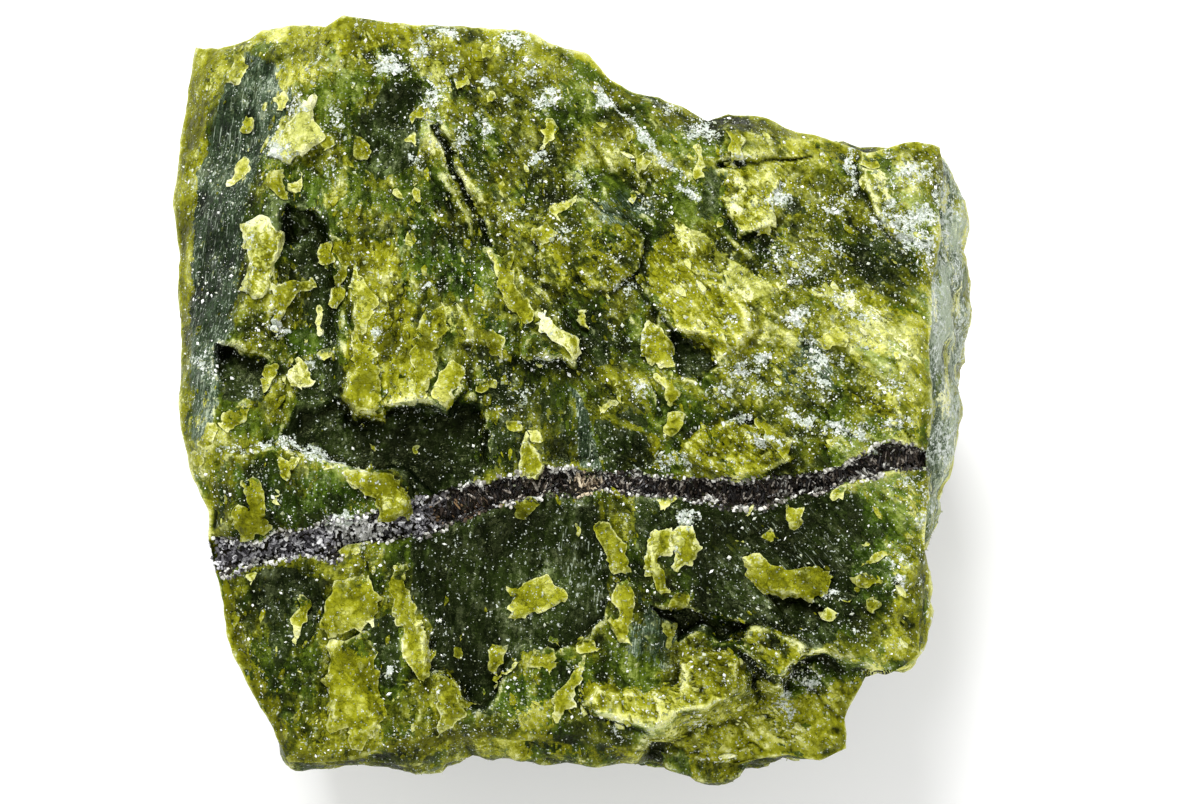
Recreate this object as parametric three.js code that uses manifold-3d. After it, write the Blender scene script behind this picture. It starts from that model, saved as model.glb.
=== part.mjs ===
// Raw serpentine: one rough, broken hand specimen lying on its flat back.
//
// The broad front face looks up. It is described in a face frame (u to the right, v up the face, w out of
// the face), which leans back from the horizontal by LEAN, and is then turned into the part's own frame:
// X to the right, Y away, Z up, millimetres, with the origin under the middle of the stone at its base.

import * as THREE from 'three';
import { mergeVertices } from 'three/addons/utils/BufferGeometryUtils.js';
import Module from 'manifold-3d';

const wasm = await Module();
wasm.setup();

// ---------------------------------------------------------------- driving dimensions (mm)

const LEAN = THREE.MathUtils.degToRad(20);
const RISE = 35.7; // height of the middle of the face above the sole
const NEAR_POINT = 300; // the outlines were laid out as seen from this distance above the face
const SIGHT = { u: 2.2, v: -0.2 }; // and from straight above this point of it

const FACE_COLUMNS = 42;
const FACE_ROWS = 40;
const WALL_COLUMNS = 84; // below the first two rings, which keep the rim's own points
const WALL_DEPTHS = [0.04, 0.12, 0.21, 0.3, 0.42, 0.55, 0.68, 0.8, 0.91];
const DENSE_RINGS = 2;
const FOOT_HEIGHT = 2.6;
const SOLE_HOLLOW = 1.1; // height of the hollow in the middle of the sole

// Rings of the sole, from the foot inwards: the stone rests on the flat band between the two at z = 0.
const SOLE_RINGS = [
  { count: 72, inset: 0, z: FOOT_HEIGHT },
  { count: 60, inset: 0.12, z: 0 },
  { count: 40, inset: 0.45, z: 0 },
  { count: 20, inset: 0.7, z: SOLE_HOLLOW },
];

const MAIN_FALL = 0.17; // the face falls away from its middle towards the top edge
const LOW_FALL = 0.05;
const RIM_ROLL = 1.2; // how far the face drops at its broken rim
const RIM_ROLL_WIDTH = 2.6;
const STEP_WIDTH = 0.7; // how far the slope at the edge of a ledge or pit reaches to either side
const FLAKE_ROOT = 0.9; // how deep a flake is rooted in the stone
const VEIN_WIDTH = 2.4;
const VEIN_DEPTH = 0.9;

// ---------------------------------------------------------------- outlines of the face (u, v)

const TOP_RIM = [
  [-33.0, 30.8], [-30.8, 30.7], [-28.6, 31.5], [-27.5, 32.6], [-25.1, 32.9], [-22.0, 33.0], [-20.2, 34.1],
  [-16.7, 33.1], [-13.2, 33.3], [-9.2, 32.9], [-4.8, 32.3], [-1.3, 31.3], [1.3, 30.3], [3.1, 28.3],
  [5.3, 27.3], [7.5, 27.0], [11.9, 24.7], [13.6, 25.6], [16.3, 25.1], [18.9, 24.1], [22.4, 22.9],
  [25.1, 21.8], [29.9, 22.4], [32.1, 22.0],
];
const RIGHT_RIM = [
  [32.1, 22.0], [32.3, 19.4], [31.7, 15.0], [31.4, 8.8], [31.2, 0.0], [30.8, -7.0], [30.8, -19.4],
  [30.5, -22.9], [29.0, -23.9], [26.4, -23.9], [25.3, -25.5], [24.0, -27.7], [23.8, -30.4],
];
const BOTTOM_RIM = [
  [-25.3, -32.4], [-21.6, -32.1], [-17.2, -31.3], [-11.9, -30.4], [-6.6, -29.5], [-1.3, -29.9],
  [2.2, -30.1], [5.7, -30.4], [9.2, -31.2], [11.0, -31.6], [13.6, -31.9], [16.3, -31.6], [18.9, -30.8],
  [21.6, -31.5], [23.8, -30.4],
];
const LEFT_RIM = [
  [-33.0, 30.8], [-34.1, 27.3], [-34.7, 23.8], [-35.1, 14.1], [-35.1, 8.8], [-34.6, -2.6], [-33.7, -7.0],
  [-32.6, -9.7], [-31.2, -16.7], [-30.2, -21.1], [-28.5, -25.4], [-26.7, -28.9], [-25.3, -32.4],
];

// Ridges where the face breaks into another facet: it falls away on the left of each line, by `fall`.
const FACETS = [
  { name: 'left facet', fall: 0.85, ridge: [[-33.6, -9], [-32.2, -3.5], [-27.5, 14.1], [-21.6, 31.7]] },
  {
    name: 'right shoulder',
    fall: 0.33,
    ridge: [[5.3, 27], [11, 18.5], [16.3, 11.4], [24.2, 4.4], [31, 0.5]].reverse(),
    side: -1,
  },
];

// Ledges, lumps, hollows and pits: each raises or sinks what is inside its outline, by `lift` at `at` and
// with `tilt` (rise per mm along u and v), so that one edge can be flush and the opposite one a step. A lump
// never sinks the face and a hollow never raises it. Where `soft` is given, the slope at the edge reaches
// that many times further inwards.
const RELIEF = [
  {
    name: 'upper layer', at: [-11, 0], lift: 1.5, tilt: [0, -0.08],
    outline: [
      [-15, 18], [-21, 16], [-20.5, 11], [-19.6, 7], [-19.7, 3], [-20.9, -0.5], [-19.4, -1.9], [-17.1, -2],
      [-16.9, -0.4], [-13.3, 0], [-11.4, -0.8], [-9.8, 1.4], [-9.5, 4], [-6.5, 3.5], [-0.5, 2.4],
      [0.2, 5], [-1, 9], [-5, 13], [-9, 16],
    ],
  },
  {
    name: 'left groove', at: [-23, 6], lift: -1.4, tilt: [-0.34, 0],
    outline: [
      [-25.5, 17], [-23, 16.4], [-21.3, 14], [-20.4, 8], [-20.2, 2], [-21.2, -1], [-24.6, -1], [-26, 2],
      [-26.5, 6], [-25.8, 13],
    ],
  },
  {
    name: 'dark scoop', at: [-15, -3.5], lift: -1.2, tilt: [0, -0.1],
    outline: [
      [-25.5, -3], [-24.5, -1], [-20.9, -0.6], [-19.4, -2], [-16, -0.5], [-12, 0.2], [-8.5, 0.5],
      [-7.6, -3], [-7, -7], [-10, -9], [-16, -6.8], [-20.5, -6.4], [-24, -4.6],
    ],
  },
  {
    name: 'centre facet', at: [-1, -2], lift: -0.6, tilt: [0.03, 0.12], soft: 2,
    outline: [
      [-5.2, 2.4], [-4.6, -6.5], [0, -6], [5, -5.5], [5.2, -1.5], [3.5, 0.2], [0.6, 1.2], [-0.4, 2.4],
    ],
  },
  {
    name: 'lower dark face', at: [-5, -17], lift: -0.8, tilt: [0, 0.05], soft: 2,
    outline: [
      [-13.8, -13.5], [-9, -11.2], [-4, -9.8], [1.5, -9.5], [2.4, -12], [3.3, -16], [2.2, -19.5],
      [0.4, -21.8], [-4, -22.5], [-6, -25], [-6.8, -28], [-8.6, -28], [-9.6, -25], [-12.5, -24],
      [-13, -20], [-14.5, -17],
    ],
  },
  {
    name: 'left swelling', at: [-25, -8], lift: 0.9, tilt: [0, -0.1], soft: 1.5,
    outline: [
      [-32, -4.5], [-25.5, -4], [-20.5, -6.3], [-17, -7], [-14.6, -9.4], [-16, -11], [-22, -11.2],
      [-28, -12], [-32, -12],
    ],
  },
  {
    name: 'triangular hollow', at: [-28.7, 2.4], lift: -1.2, tilt: [0.1, -0.5], soft: 0.3,
    outline: [[-31.2, 5.2], [-29.4, 4.9], [-26.5, 3.3], [-26.4, 1.6], [-27.4, 0], [-30, -0.3], [-31.2, 0]],
  },
  {
    name: 'deep hole', at: [-24.8, 15.2], lift: -1.9, tilt: [0.2, 0.2],
    outline: [[-26, 15.6], [-25.2, 16.8], [-23.6, 16], [-23, 15.2], [-24, 13.6], [-25.4, 13.2]],
  },
  {
    name: 'shaded hollow', at: [-15, 26], lift: -0.5, tilt: [0.1, 0], soft: 2,
    outline: [[-16.6, 27.6], [-13.6, 28], [-12.9, 25.6], [-13.6, 23.4], [-16, 23.4], [-18, 21], [-19, 24.5]],
  },
  {
    name: 'left blade', at: [-11, 18], lift: 0.9, tilt: [0.1, -0.06], soft: 0.5,
    outline: [
      [-12.9, 25], [-12, 22.5], [-10.4, 18.6], [-9.3, 15.5], [-9.2, 13.7], [-10, 14], [-12, 17.5],
      [-13.4, 20.5],
    ],
  },
  {
    name: 'right blade', at: [-8.8, 17.5], lift: 0.9, tilt: [0, -0.1], soft: 0.5,
    outline: [[-11.2, 21.5], [-9.6, 20.6], [-8, 18.2], [-8, 17.1], [-9.2, 16.6], [-10.2, 18.6]],
  },
  {
    name: 'blade slit', at: [-10, 18], lift: -0.9, tilt: [0, 0], soft: 0.5,
    outline: [[-12.4, 24], [-11.7, 24], [-9.9, 18.7], [-8.9, 16.2], [-7.7, 13.4], [-8.5, 13.4], [-10.4, 18.3]],
  },
  {
    name: 'olive plate', at: [1, 12], lift: 0.7, tilt: [0, 0], soft: 1.5,
    outline: [
      [-3.8, 15.6], [-3, 12.5], [-2.8, 9.8], [-0.2, 8.8], [0.6, 10.4], [3, 9.2], [5.8, 11], [6.6, 14],
      [4, 16.5], [0.2, 18.3], [-2.6, 17],
    ],
  },
  {
    name: 'upper right wedge', at: [17.5, 22], lift: 0.8, tilt: [0, -0.15],
    outline: [[12, 21.8], [14.5, 21.4], [18, 21.8], [21, 22.6], [22, 23.2], [19, 24.2], [13.6, 25.6], [11.6, 24]],
  },
  {
    name: 'upper right slit', at: [16, 21], lift: -1, tilt: [0, 0.2],
    outline: [[12.2, 20.3], [14.4, 20.5], [17, 20.9], [20.4, 21.9], [18, 21.9], [14.4, 21.3], [12.4, 21]],
  },
  {
    name: 'pale lump', at: [16.8, 18], lift: 0.8, tilt: [-0.08, -0.1], soft: 1.5,
    outline: [
      [14.2, 20.3], [17, 20.8], [19.8, 20.8], [20.5, 19.2], [19, 17], [17.2, 15.4], [15, 14.6],
      [13.6, 16.2],
    ],
  },
  {
    name: 'corner block', at: [28.5, 17], lift: 0.7, tilt: [-0.1, 0],
    outline: [[24.4, 22.9], [25, 19], [25.6, 16.4], [27.6, 14.3], [30.6, 13], [33, 12], [33, 22.9]],
  },
  {
    name: 'corner pocket', at: [27.6, 21], lift: -0.7, tilt: [0, 0],
    outline: [[26.3, 22.2], [28.8, 22.3], [28.8, 20.6], [27, 20]],
  },
  {
    name: 'right hollow', at: [27, 10.5], lift: -0.6, tilt: [0, -0.08], soft: 2.5,
    outline: [[23.4, 13.6], [27, 14.2], [30.3, 12.4], [31, 9], [29.4, 7.9], [26.4, 7.8], [24, 10]],
  },
  {
    name: 'yellow lump', at: [10, 10], lift: 0.7, tilt: [0.06, -0.1], soft: 2,
    outline: [
      [6.6, 13], [8, 16], [10.6, 15.8], [12.6, 12.8], [14.6, 9.8], [16, 6.5], [14.4, 3.2], [12.2, 3.4],
      [11.8, 5.4], [8.6, 6.3], [6.4, 8], [5.4, 10],
    ],
  },
  {
    name: 'hollow under the lump', at: [10.4, 4], lift: -0.9, tilt: [0, -0.15],
    outline: [[8.4, 6], [9.6, 5.6], [11.9, 5.1], [12.3, 3.4], [11, 2.2], [9, 2.5]],
  },
  {
    name: 'knobs above the vein', at: [13, -4.6], lift: 0.9, tilt: [0, -0.08],
    outline: [
      [9.2, -3.6], [10.4, -2.6], [12.3, -1.4], [14.6, -2.2], [17.4, -2.4], [18.8, -4.8], [17, -6],
      [13, -7.2], [11.4, -6.2], [9.2, -4.8],
    ],
  },
  {
    name: 'right dark slope', at: [21, -15], lift: -0.7, tilt: [0, 0.02], soft: 2,
    outline: [
      [11.6, -9.4], [20, -9], [26, -9.6], [28.6, -12], [28, -15.4], [25.4, -19.4], [22.6, -22.6],
      [20.6, -22.6], [17, -20.5], [12.8, -19], [9.4, -18.6], [10.4, -14.6], [11.8, -12.6],
    ],
  },
  {
    name: 'long slit', at: [10.5, -19.8], lift: -1.5, tilt: [0, 0], soft: 0.5,
    outline: [
      [6.8, -18.8], [9.8, -18.8], [12.8, -19.2], [15.4, -20], [14.8, -21.8], [12.8, -20.9], [10.8, -20.3],
      [9.6, -21.4], [8.8, -20.1],
    ],
  },
  {
    name: 'hollow under the ledge flake', at: [19.6, -19], lift: -1.1, tilt: [0, -0.35],
    outline: [[16.8, -17.4], [20, -17.8], [22.2, -18.6], [21.6, -20.6], [19.4, -20.4], [17.4, -19]],
  },
  {
    name: 'tongue', at: [17, -22.5], lift: 1.5, tilt: [0.02, -0.25],
    outline: [
      [12.6, -20.6], [15, -20], [18.5, -20.3], [20, -20.8], [21, -21.8], [20, -22.8], [19.2, -23.5],
      [18.2, -24.9], [16.8, -24.4], [15.8, -23.5], [14.6, -22.3],
    ],
  },
  {
    name: 'yellow crust', at: [7, -26.5], lift: 1.3, tilt: [0, -0.15],
    outline: [
      [1.2, -23.7], [3, -24.5], [4.6, -25], [7, -24.6], [9.2, -24.4], [9.4, -22.5], [11, -22.3],
      [13, -21.8], [14.8, -23], [14.9, -25], [13.5, -26.5], [11.8, -27.2], [10.2, -27], [9, -28],
      [8, -28.6], [6.3, -28.5], [4, -27.6], [2.1, -27.2], [1.2, -26.4],
    ],
  },
  {
    name: 'lower right lump', at: [17, -28], lift: -3.3, tilt: [0, 0.1],
    outline: [
      [5, -31], [6.6, -28.8], [8.2, -28.8], [10.3, -27.3], [12, -27.4], [13.6, -26.7], [15, -25.2],
      [15.2, -23.6], [17, -24.8], [18.3, -25.1], [19.3, -23.7], [20.3, -22.9], [22, -22.8],
      [25, -23.3], [28, -25.2], [26, -34], [8, -34],
    ],
  },
];

// The dark fibrous vein crosses the whole face as a shallow trench.
const VEIN = [
  [-33.5, -13.9], [-31.7, -13.6], [-21.6, -12.3], [-11.9, -10.1], [-4.8, -7.9], [2.2, -7.0], [9.2, -7.7],
  [14.5, -8.1], [21.6, -6.9], [26.8, -5.5], [30.2, -5.4], [33, -5.6],
];

// Thicker flakes that stand proud of the face, each with its own thickness.
const FLAKES = [
  {
    name: 'star', thick: 0.8,
    outline: [
      [-5.9, -16.1], [-4.3, -15.8], [-2.3, -15.3], [-1.9, -16.3], [-1.1, -18.2], [-1.9, -18.6],
      [-3.4, -18.7], [-4, -19.6], [-5.3, -19.4], [-5.6, -16.9],
    ],
  },
  {
    name: 'pale chip', thick: 1.3,
    outline: [
      [-22.4, 26.4], [-22, 23], [-23.3, 21.6], [-24.8, 20.6], [-27.1, 21], [-25.8, 23.4], [-24, 25.7],
    ],
  },
  {
    name: 'bright chip', thick: 1.3,
    outline: [
      [-29, 15.4], [-27.4, 16], [-25.4, 14.4], [-26.2, 11.2], [-26.8, 9.8], [-28.2, 9.2], [-29.3, 10],
      [-28.3, 13.2],
    ],
  },
  {
    name: 'top left chip', thick: 0.8,
    outline: [[-29.8, 31.2], [-28.9, 31.2], [-28.9, 29.6], [-29.8, 27.8], [-30.6, 27.6], [-30.2, 29.6]],
  },
  {
    name: 'arch', thick: 0.8,
    outline: [
      [-26.3, 10.2], [-23.2, 10.5], [-23, 9.6], [-24.5, 9], [-25.3, 7], [-25.9, 5.2], [-26.7, 6.4],
      [-26.7, 8.4],
    ],
  },
  {
    name: 'tuft flake', thick: 0.9,
    outline: [[-24.9, 2.4], [-24.2, 3.5], [-23.1, 2.6], [-22.9, 1.4], [-23.9, 0.2], [-24.8, 0.9]],
  },
  {
    name: 'outer fold', thick: 0.7,
    outline: [
      [-20.2, 12], [-18, 9], [-18.4, 5], [-17.4, 2.4], [-17.4, -0.7], [-19.4, -1.7], [-20.6, -0.6],
      [-19.7, 3], [-19.7, 7],
    ],
  },
  {
    name: 'inner fold', thick: 0.7,
    outline: [[-14.4, 0.3], [-13.3, 0.1], [-13, 2], [-11.4, 6.4], [-11.8, 8.8], [-13.6, 7], [-14.4, 4]],
  },
  {
    name: 'hanging flake', thick: 0.7,
    outline: [[-11, 3.7], [-12, 2.6], [-12.6, 0.4], [-11.4, -0.7], [-10.8, 1.1], [-9.8, 1.4], [-10, 2.8]],
  },
  {
    name: 'middle flake', thick: 0.9,
    outline: [
      [-7.7, 12.9], [-5.8, 12.9], [-5.3, 10], [-4.4, 9.8], [-3.4, 8], [-4, 6.9], [-5.6, 7.6], [-6.9, 9.8],
    ],
  },
  {
    name: 'leaf', thick: 0.7,
    outline: [[-2.9, 8.1], [-3.4, 6.5], [-1.4, 4], [-0.5, 2.4], [-0.3, 4.2], [-1.8, 5.9]],
  },
  {
    name: 'right leaf', thick: 0.8,
    outline: [[6.2, 6.9], [7.4, 5.8], [8.5, 4.4], [8.7, 3], [6.5, 3.4], [5.9, 4.4]],
  },
  {
    name: 'spike', thick: 0.8,
    outline: [[-4.3, -3], [-3.6, -4.5], [-3.1, -6.2], [-3.6, -7.2], [-4.8, -7.2], [-5, -6.2]],
  },
  {
    name: 'fan', thick: 0.9,
    outline: [
      [-20.6, -7], [-20.2, -6.4], [-18.2, -6.3], [-16.3, -6.8], [-15.2, -7.9], [-14.4, -9.6], [-15, -10.6],
      [-17.6, -10.9], [-18.2, -9], [-19.6, -7.9],
    ],
  },
  {
    name: 'left U', thick: 0.8,
    outline: [
      [-29.4, -7], [-28.5, -6.7], [-27.4, -8.4], [-27.1, -11], [-28, -11.9], [-29.5, -12], [-30.3, -10.8],
      [-30.1, -9.6], [-28.8, -9.2],
    ],
  },
  {
    name: 'plate one', thick: 0.9,
    outline: [
      [-22, -17.5], [-21.7, -20.8], [-19.5, -20.3], [-17.6, -20], [-17.3, -17.5], [-18.4, -15.3],
      [-21.2, -15.8],
    ],
  },
  {
    name: 'plate two', thick: 1.2,
    outline: [
      [-21.4, -21.1], [-18, -20.3], [-17.5, -24.8], [-16.9, -27.3], [-17.4, -28.9], [-19.2, -30.7],
      [-20, -30.2], [-20.4, -28.8], [-21.8, -29.2], [-22, -24.8],
    ],
  },
  {
    name: 'ragged column', thick: 1.2,
    outline: [
      [-16, -14.2], [-15, -14.6], [-14.5, -17.8], [-13.2, -19.6], [-13.1, -22], [-12.4, -24.4],
      [-13.4, -25.2], [-15, -23.4], [-15.2, -20.4], [-16.2, -19.2],
    ],
  },
  {
    name: 'bright flake', thick: 1.1,
    outline: [
      [-11.7, -24.1], [-10.6, -24], [-9.9, -25.8], [-9.2, -28], [-10.4, -29.8], [-12, -30.2],
      [-11.5, -28.5], [-12, -26.6],
    ],
  },
  {
    name: 'upper strip', thick: 0.8,
    outline: [[1.7, -11], [3, -11.1], [4.4, -13.2], [4.7, -15.2], [3, -15.7], [2.5, -13.2]],
  },
  {
    name: 'lower strip', thick: 0.8,
    outline: [
      [3.2, -16], [4.4, -15.7], [5.2, -18], [5.1, -21.9], [3.8, -21.5], [2.3, -19.4], [3.7, -19],
    ],
  },
  {
    name: 'left wing', thick: 0.9,
    outline: [
      [7, -11], [8.4, -11.1], [8.3, -13.6], [7.5, -14.2], [8.6, -17.2], [7, -16.3], [6, -14.6],
    ],
  },
  {
    name: 'right wing', thick: 0.9,
    outline: [[8.9, -11.2], [10.3, -10.9], [11.4, -13], [9.4, -15.3], [8.5, -14.6]],
  },
  {
    name: 'ledge flake', thick: 1.3,
    outline: [
      [15.2, -14.3], [16.3, -13.7], [18.2, -15.4], [21.5, -15.1], [22.7, -16.3], [22.3, -17.9],
      [21.2, -18.4], [17.6, -17.6], [15.8, -16.8],
    ],
  },
  {
    name: 'vertical crust', thick: 1,
    outline: [[0.8, -22.5], [1.2, -24.6], [0.5, -25.2], [0.9, -26.6], [-0.9, -28.2], [-1.4, -26.4]],
  },
];

// ---------------------------------------------------------------- sides of the stone

// Going clockwise round the rim from its upper left corner: how far the side stands out from the rim at
// each fraction of the way down to the sole.
const SIDE_DEPTHS = [0, 0.12, 0.3, 0.55, 0.8, 1];
const SIDES = [
  { near: [-33.0, 30.8], out: [0, 0.3, -0.8, -3, -6, -9] },
  { near: [-20.2, 34.1], out: [0, 0.8, 1.4, 0.8, -2, -4.5] },
  { near: [-4.8, 32.3], out: [0, 0.8, 1, 0.5, -1.5, -4] },
  { near: [11.9, 24.7], out: [0, 0.8, 1.8, 2.2, 1, -2] },
  { near: [32.1, 22.0], out: [0, 1, 2.7, 1.6, -1.6, -5] },
  { near: [31.7, 15.0], out: [0, 1.5, 3.2, 3.5, 2, 0] },
  { near: [31.2, 0.0], out: [0, 1.4, 3.8, 4.9, 2.8, 0] },
  { near: [30.8, -12], out: [0, 0.2, 0.3, 0, -1, -3.5] },
  { near: [30.5, -22.9], out: [0, 0.3, -1, -3, -6, -9] },
  { near: [24.0, -27.7], out: [0, 0.3, 0.5, -1.5, -5, -9] },
  { near: [13.6, -31.9], out: [0, 0, -1.2, -5, -9, -13] },
  { near: [-1.3, -29.9], out: [0, 0.9, 0.4, -3.5, -9, -13] },
  { near: [-17.2, -31.3], out: [0, 1.3, 0, -3.5, -8, -12] },
  { near: [-25.3, -32.4], out: [0, -0.3, -1.6, -4, -7, -10] },
  { near: [-31.2, -16.7], out: [0, 0.1, -0.3, -1.8, -4, -7] },
  { near: [-35.1, 8.8], out: [0, 0.9, 1.3, 0.5, -2, -5] },
];

// Roughness: [size of the lumps, how far they move the surface].
const ROUGHNESS = [[9, 0.55], [4, 0.35]];
const ROUGHNESS_FADE = 5; // the roughness dies out over this height above the sole

// The sides broke off in scales: steps between flat scars, [size of the scars, steps, height of a step].
const SCALES = [[15, 2, 1.2], [6.5, 2, 0.6]];
const SCALE_EDGE = 0.3; // share of a step that its slope takes up
const SCALES_SUNK = 0.8; // how many steps the scars are sunk by, so that they cut in more than they stand out
const SCALES_START = 0.08; // they start within this fraction of the way down from the rim
const CORNER_ROUNDING = 7; // how many neighbours a side's corner is averaged over, at the foot
const OUTLINE_RAGGEDNESS = 0.35;
const OUTLINE_RAGGED_SIZE = 2.2;

// ---------------------------------------------------------------- noise

function scramble(i, j, k) {
  const s = Math.sin(i * 127.1 + j * 311.7 + k * 74.7) * 43758.5453;
  return 2 * (s - Math.floor(s)) - 1;
}

/** Smooth value noise between -1 and 1, with lumps of about one unit. */
function noise(x, y, z) {
  const [i, j, k] = [Math.floor(x), Math.floor(y), Math.floor(z)];
  const ease = (t) => t * t * (3 - 2 * t);
  const [a, b, c] = [ease(x - i), ease(y - j), ease(z - k)];
  let sum = 0;
  for (let corner = 0; corner < 8; corner++) {
    const [di, dj, dk] = [corner & 1, (corner >> 1) & 1, corner >> 2];
    const weight = (di ? a : 1 - a) * (dj ? b : 1 - b) * (dk ? c : 1 - c);
    sum += weight * scramble(i + di, j + dj, k + dk);
  }
  return sum;
}

/** Noise in flat steps, as left by scales of stone that split off. */
function scales(point, size, steps) {
  const level = steps * noise(point.x / size + 5.2, point.y / size + 9.1, point.z / size);
  const floor = Math.floor(level);
  return floor + smoothstep((level - floor) / SCALE_EDGE);
}

// ---------------------------------------------------------------- plane geometry

const lerp = THREE.MathUtils.lerp;

function smoothstep(x) {
  const t = THREE.MathUtils.clamp(x, 0, 1);
  return t * t * (3 - 2 * t);
}

/** Distance from (u, v) to the segment a-b. */
function segmentDistance(a, b, u, v) {
  const [du, dv] = [b[0] - a[0], b[1] - a[1]];
  const t = THREE.MathUtils.clamp(((u - a[0]) * du + (v - a[1]) * dv) / (du * du + dv * dv), 0, 1);
  return Math.hypot(u - a[0] - t * du, v - a[1] - t * dv);
}

/** Distance from (u, v) to a closed outline, positive inside it. */
function insideDistance(outline, u, v) {
  let nearest = Infinity;
  let inside = false;
  outline.forEach((a, i) => {
    const b = outline[(i + 1) % outline.length];
    nearest = Math.min(nearest, segmentDistance(a, b, u, v));
    const crosses = a[1] > v !== b[1] > v && u < a[0] + ((v - a[1]) * (b[0] - a[0])) / (b[1] - a[1]);
    if (crosses) inside = !inside;
  });
  return inside ? nearest : -nearest;
}

/** Distance from (u, v) to an open line whose ends run on for ever, positive on its left. */
function leftDistance(line, u, v) {
  let best = Infinity;
  let signed = 0;
  for (let i = 0; i < line.length - 1; i++) {
    const [a, b] = [line[i], line[i + 1]];
    const [du, dv] = [b[0] - a[0], b[1] - a[1]];
    let t = ((u - a[0]) * du + (v - a[1]) * dv) / (du * du + dv * dv);
    if (i > 0) t = Math.max(t, 0);
    if (i < line.length - 2) t = Math.min(t, 1);
    const distance = Math.hypot(u - a[0] - t * du, v - a[1] - t * dv);
    if (distance < best) {
      best = distance;
      signed = Math.sign(du * (v - a[1]) - dv * (u - a[0])) * distance;
    }
  }
  return signed;
}

/** The point a fraction t of the way along an open line, by length. */
function along(line, t) {
  const lengths = line.slice(1).map((b, i) => Math.hypot(b[0] - line[i][0], b[1] - line[i][1]));
  let left = t * lengths.reduce((sum, length) => sum + length, 0);
  for (let i = 0; i < lengths.length; i++) {
    if (left <= lengths[i] || i === lengths.length - 1) {
      const f = left / lengths[i];
      return [lerp(line[i][0], line[i + 1][0], f), lerp(line[i][1], line[i + 1][1], f)];
    }
    left -= lengths[i];
  }
  return line[line.length - 1];
}

// ---------------------------------------------------------------- the face

const RIM = [...TOP_RIM, ...RIGHT_RIM.slice(1), ...BOTTOM_RIM.toReversed().slice(1), ...LEFT_RIM.toReversed().slice(1, -1)];

/** Height of the face above the face frame's own plane. */
function faceHeight(u, v) {
  const main = v > 0 ? -MAIN_FALL * v : -LOW_FALL * v;
  let w = main;
  for (const facet of FACETS) {
    const beyond = leftDistance(facet.ridge, u, v) * (facet.side ?? 1);
    w = Math.min(w, main - facet.fall * beyond);
  }
  const raggedU = u + OUTLINE_RAGGEDNESS * noise(u / OUTLINE_RAGGED_SIZE, v / OUTLINE_RAGGED_SIZE, 3.5);
  const raggedV = v + OUTLINE_RAGGEDNESS * noise(u / OUTLINE_RAGGED_SIZE, v / OUTLINE_RAGGED_SIZE, 7.5);
  for (const { at, lift, tilt, soft = 1, outline } of RELIEF) {
    const inside = insideDistance(outline, raggedU, raggedV);
    if (inside > -STEP_WIDTH) {
      const share = smoothstep((inside + STEP_WIDTH) / (STEP_WIDTH + soft * STEP_WIDTH));
      const rise = lift + tilt[0] * (u - at[0]) + tilt[1] * (v - at[1]);
      w += share * (lift > 0 ? Math.max(rise, 0) : Math.min(rise, 0));
    }
  }
  const fromRim = Math.max(0, insideDistance(RIM, u, v));
  const roll = Math.max(0, 1 - fromRim / RIM_ROLL_WIDTH);
  return w - RIM_ROLL * roll * roll;
}

/** A point of the face frame in the part's frame, before the roughness. */
function fromFace(u, v, w) {
  const nearer = 1 - w / NEAR_POINT;
  const x = SIGHT.u + (u - SIGHT.u) * nearer;
  const up = SIGHT.v + (v - SIGHT.v) * nearer;
  const y = up * Math.cos(LEAN) - w * Math.sin(LEAN);
  const z = up * Math.sin(LEAN) + w * Math.cos(LEAN) + RISE;
  return new THREE.Vector3(x, y, z);
}

/** Moves a point by the stone's roughness, which dies out towards the sole. */
function roughen(point) {
  const fade = smoothstep(point.z / ROUGHNESS_FADE);
  const moved = point.clone();
  for (const [size, reach] of ROUGHNESS) {
    const { x, y, z } = point.clone().divideScalar(size);
    moved.x += fade * reach * noise(x, y, z);
    moved.y += fade * reach * noise(x + 31.4, y, z);
    moved.z += fade * reach * noise(x, y + 17.7, z);
  }
  return moved;
}

/** (s, t) in the unit square to (u, v): a patch stretched between the four rims. */
function facePlace(s, t) {
  const [top, bottom] = [along(TOP_RIM, s), along(BOTTOM_RIM, s)];
  const [left, right] = [along(LEFT_RIM, t), along(RIGHT_RIM, t)];
  const [topLeft, topRight] = [TOP_RIM[0], TOP_RIM.at(-1)];
  const [bottomLeft, bottomRight] = [BOTTOM_RIM[0], BOTTOM_RIM.at(-1)];
  return [0, 1].map((axis) => {
    const sides = lerp(left[axis], right[axis], s);
    const ends = lerp(top[axis], bottom[axis], t);
    const upper = lerp(topLeft[axis], topRight[axis], s);
    const lower = lerp(bottomLeft[axis], bottomRight[axis], s);
    return sides + ends - lerp(upper, lower, t);
  });
}

// ---------------------------------------------------------------- building the stone

class MeshMaker {
  positions = [];
  triangles = [];

  add(point) {
    this.positions.push(point.x, point.y, point.z);
    return this.positions.length / 3 - 1;
  }

  quad(a, b, c, d) {
    this.triangles.push(a, b, c, a, c, d);
  }

  /** Joins an upper ring to a lower one, each counterclockwise seen from above, whatever their counts. */
  bridge(upper, lower) {
    let [i, j] = [0, 0];
    while (i < upper.length || j < lower.length) {
      const [a, b] = [upper[i % upper.length], lower[j % lower.length]];
      const stepUpper = j >= lower.length || (i < upper.length && (i + 1) / upper.length <= (j + 1) / lower.length);
      if (stepUpper) {
        i += 1;
        this.triangles.push(a, b, upper[i % upper.length]);
      } else {
        j += 1;
        this.triangles.push(a, b, lower[j % lower.length]);
      }
    }
  }

  solid() {
    const mesh = new wasm.Mesh({
      numProp: 3,
      vertProperties: Float32Array.from(this.positions),
      triVerts: Uint32Array.from(this.triangles),
    });
    return new wasm.Manifold(mesh);
  }
}

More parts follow.
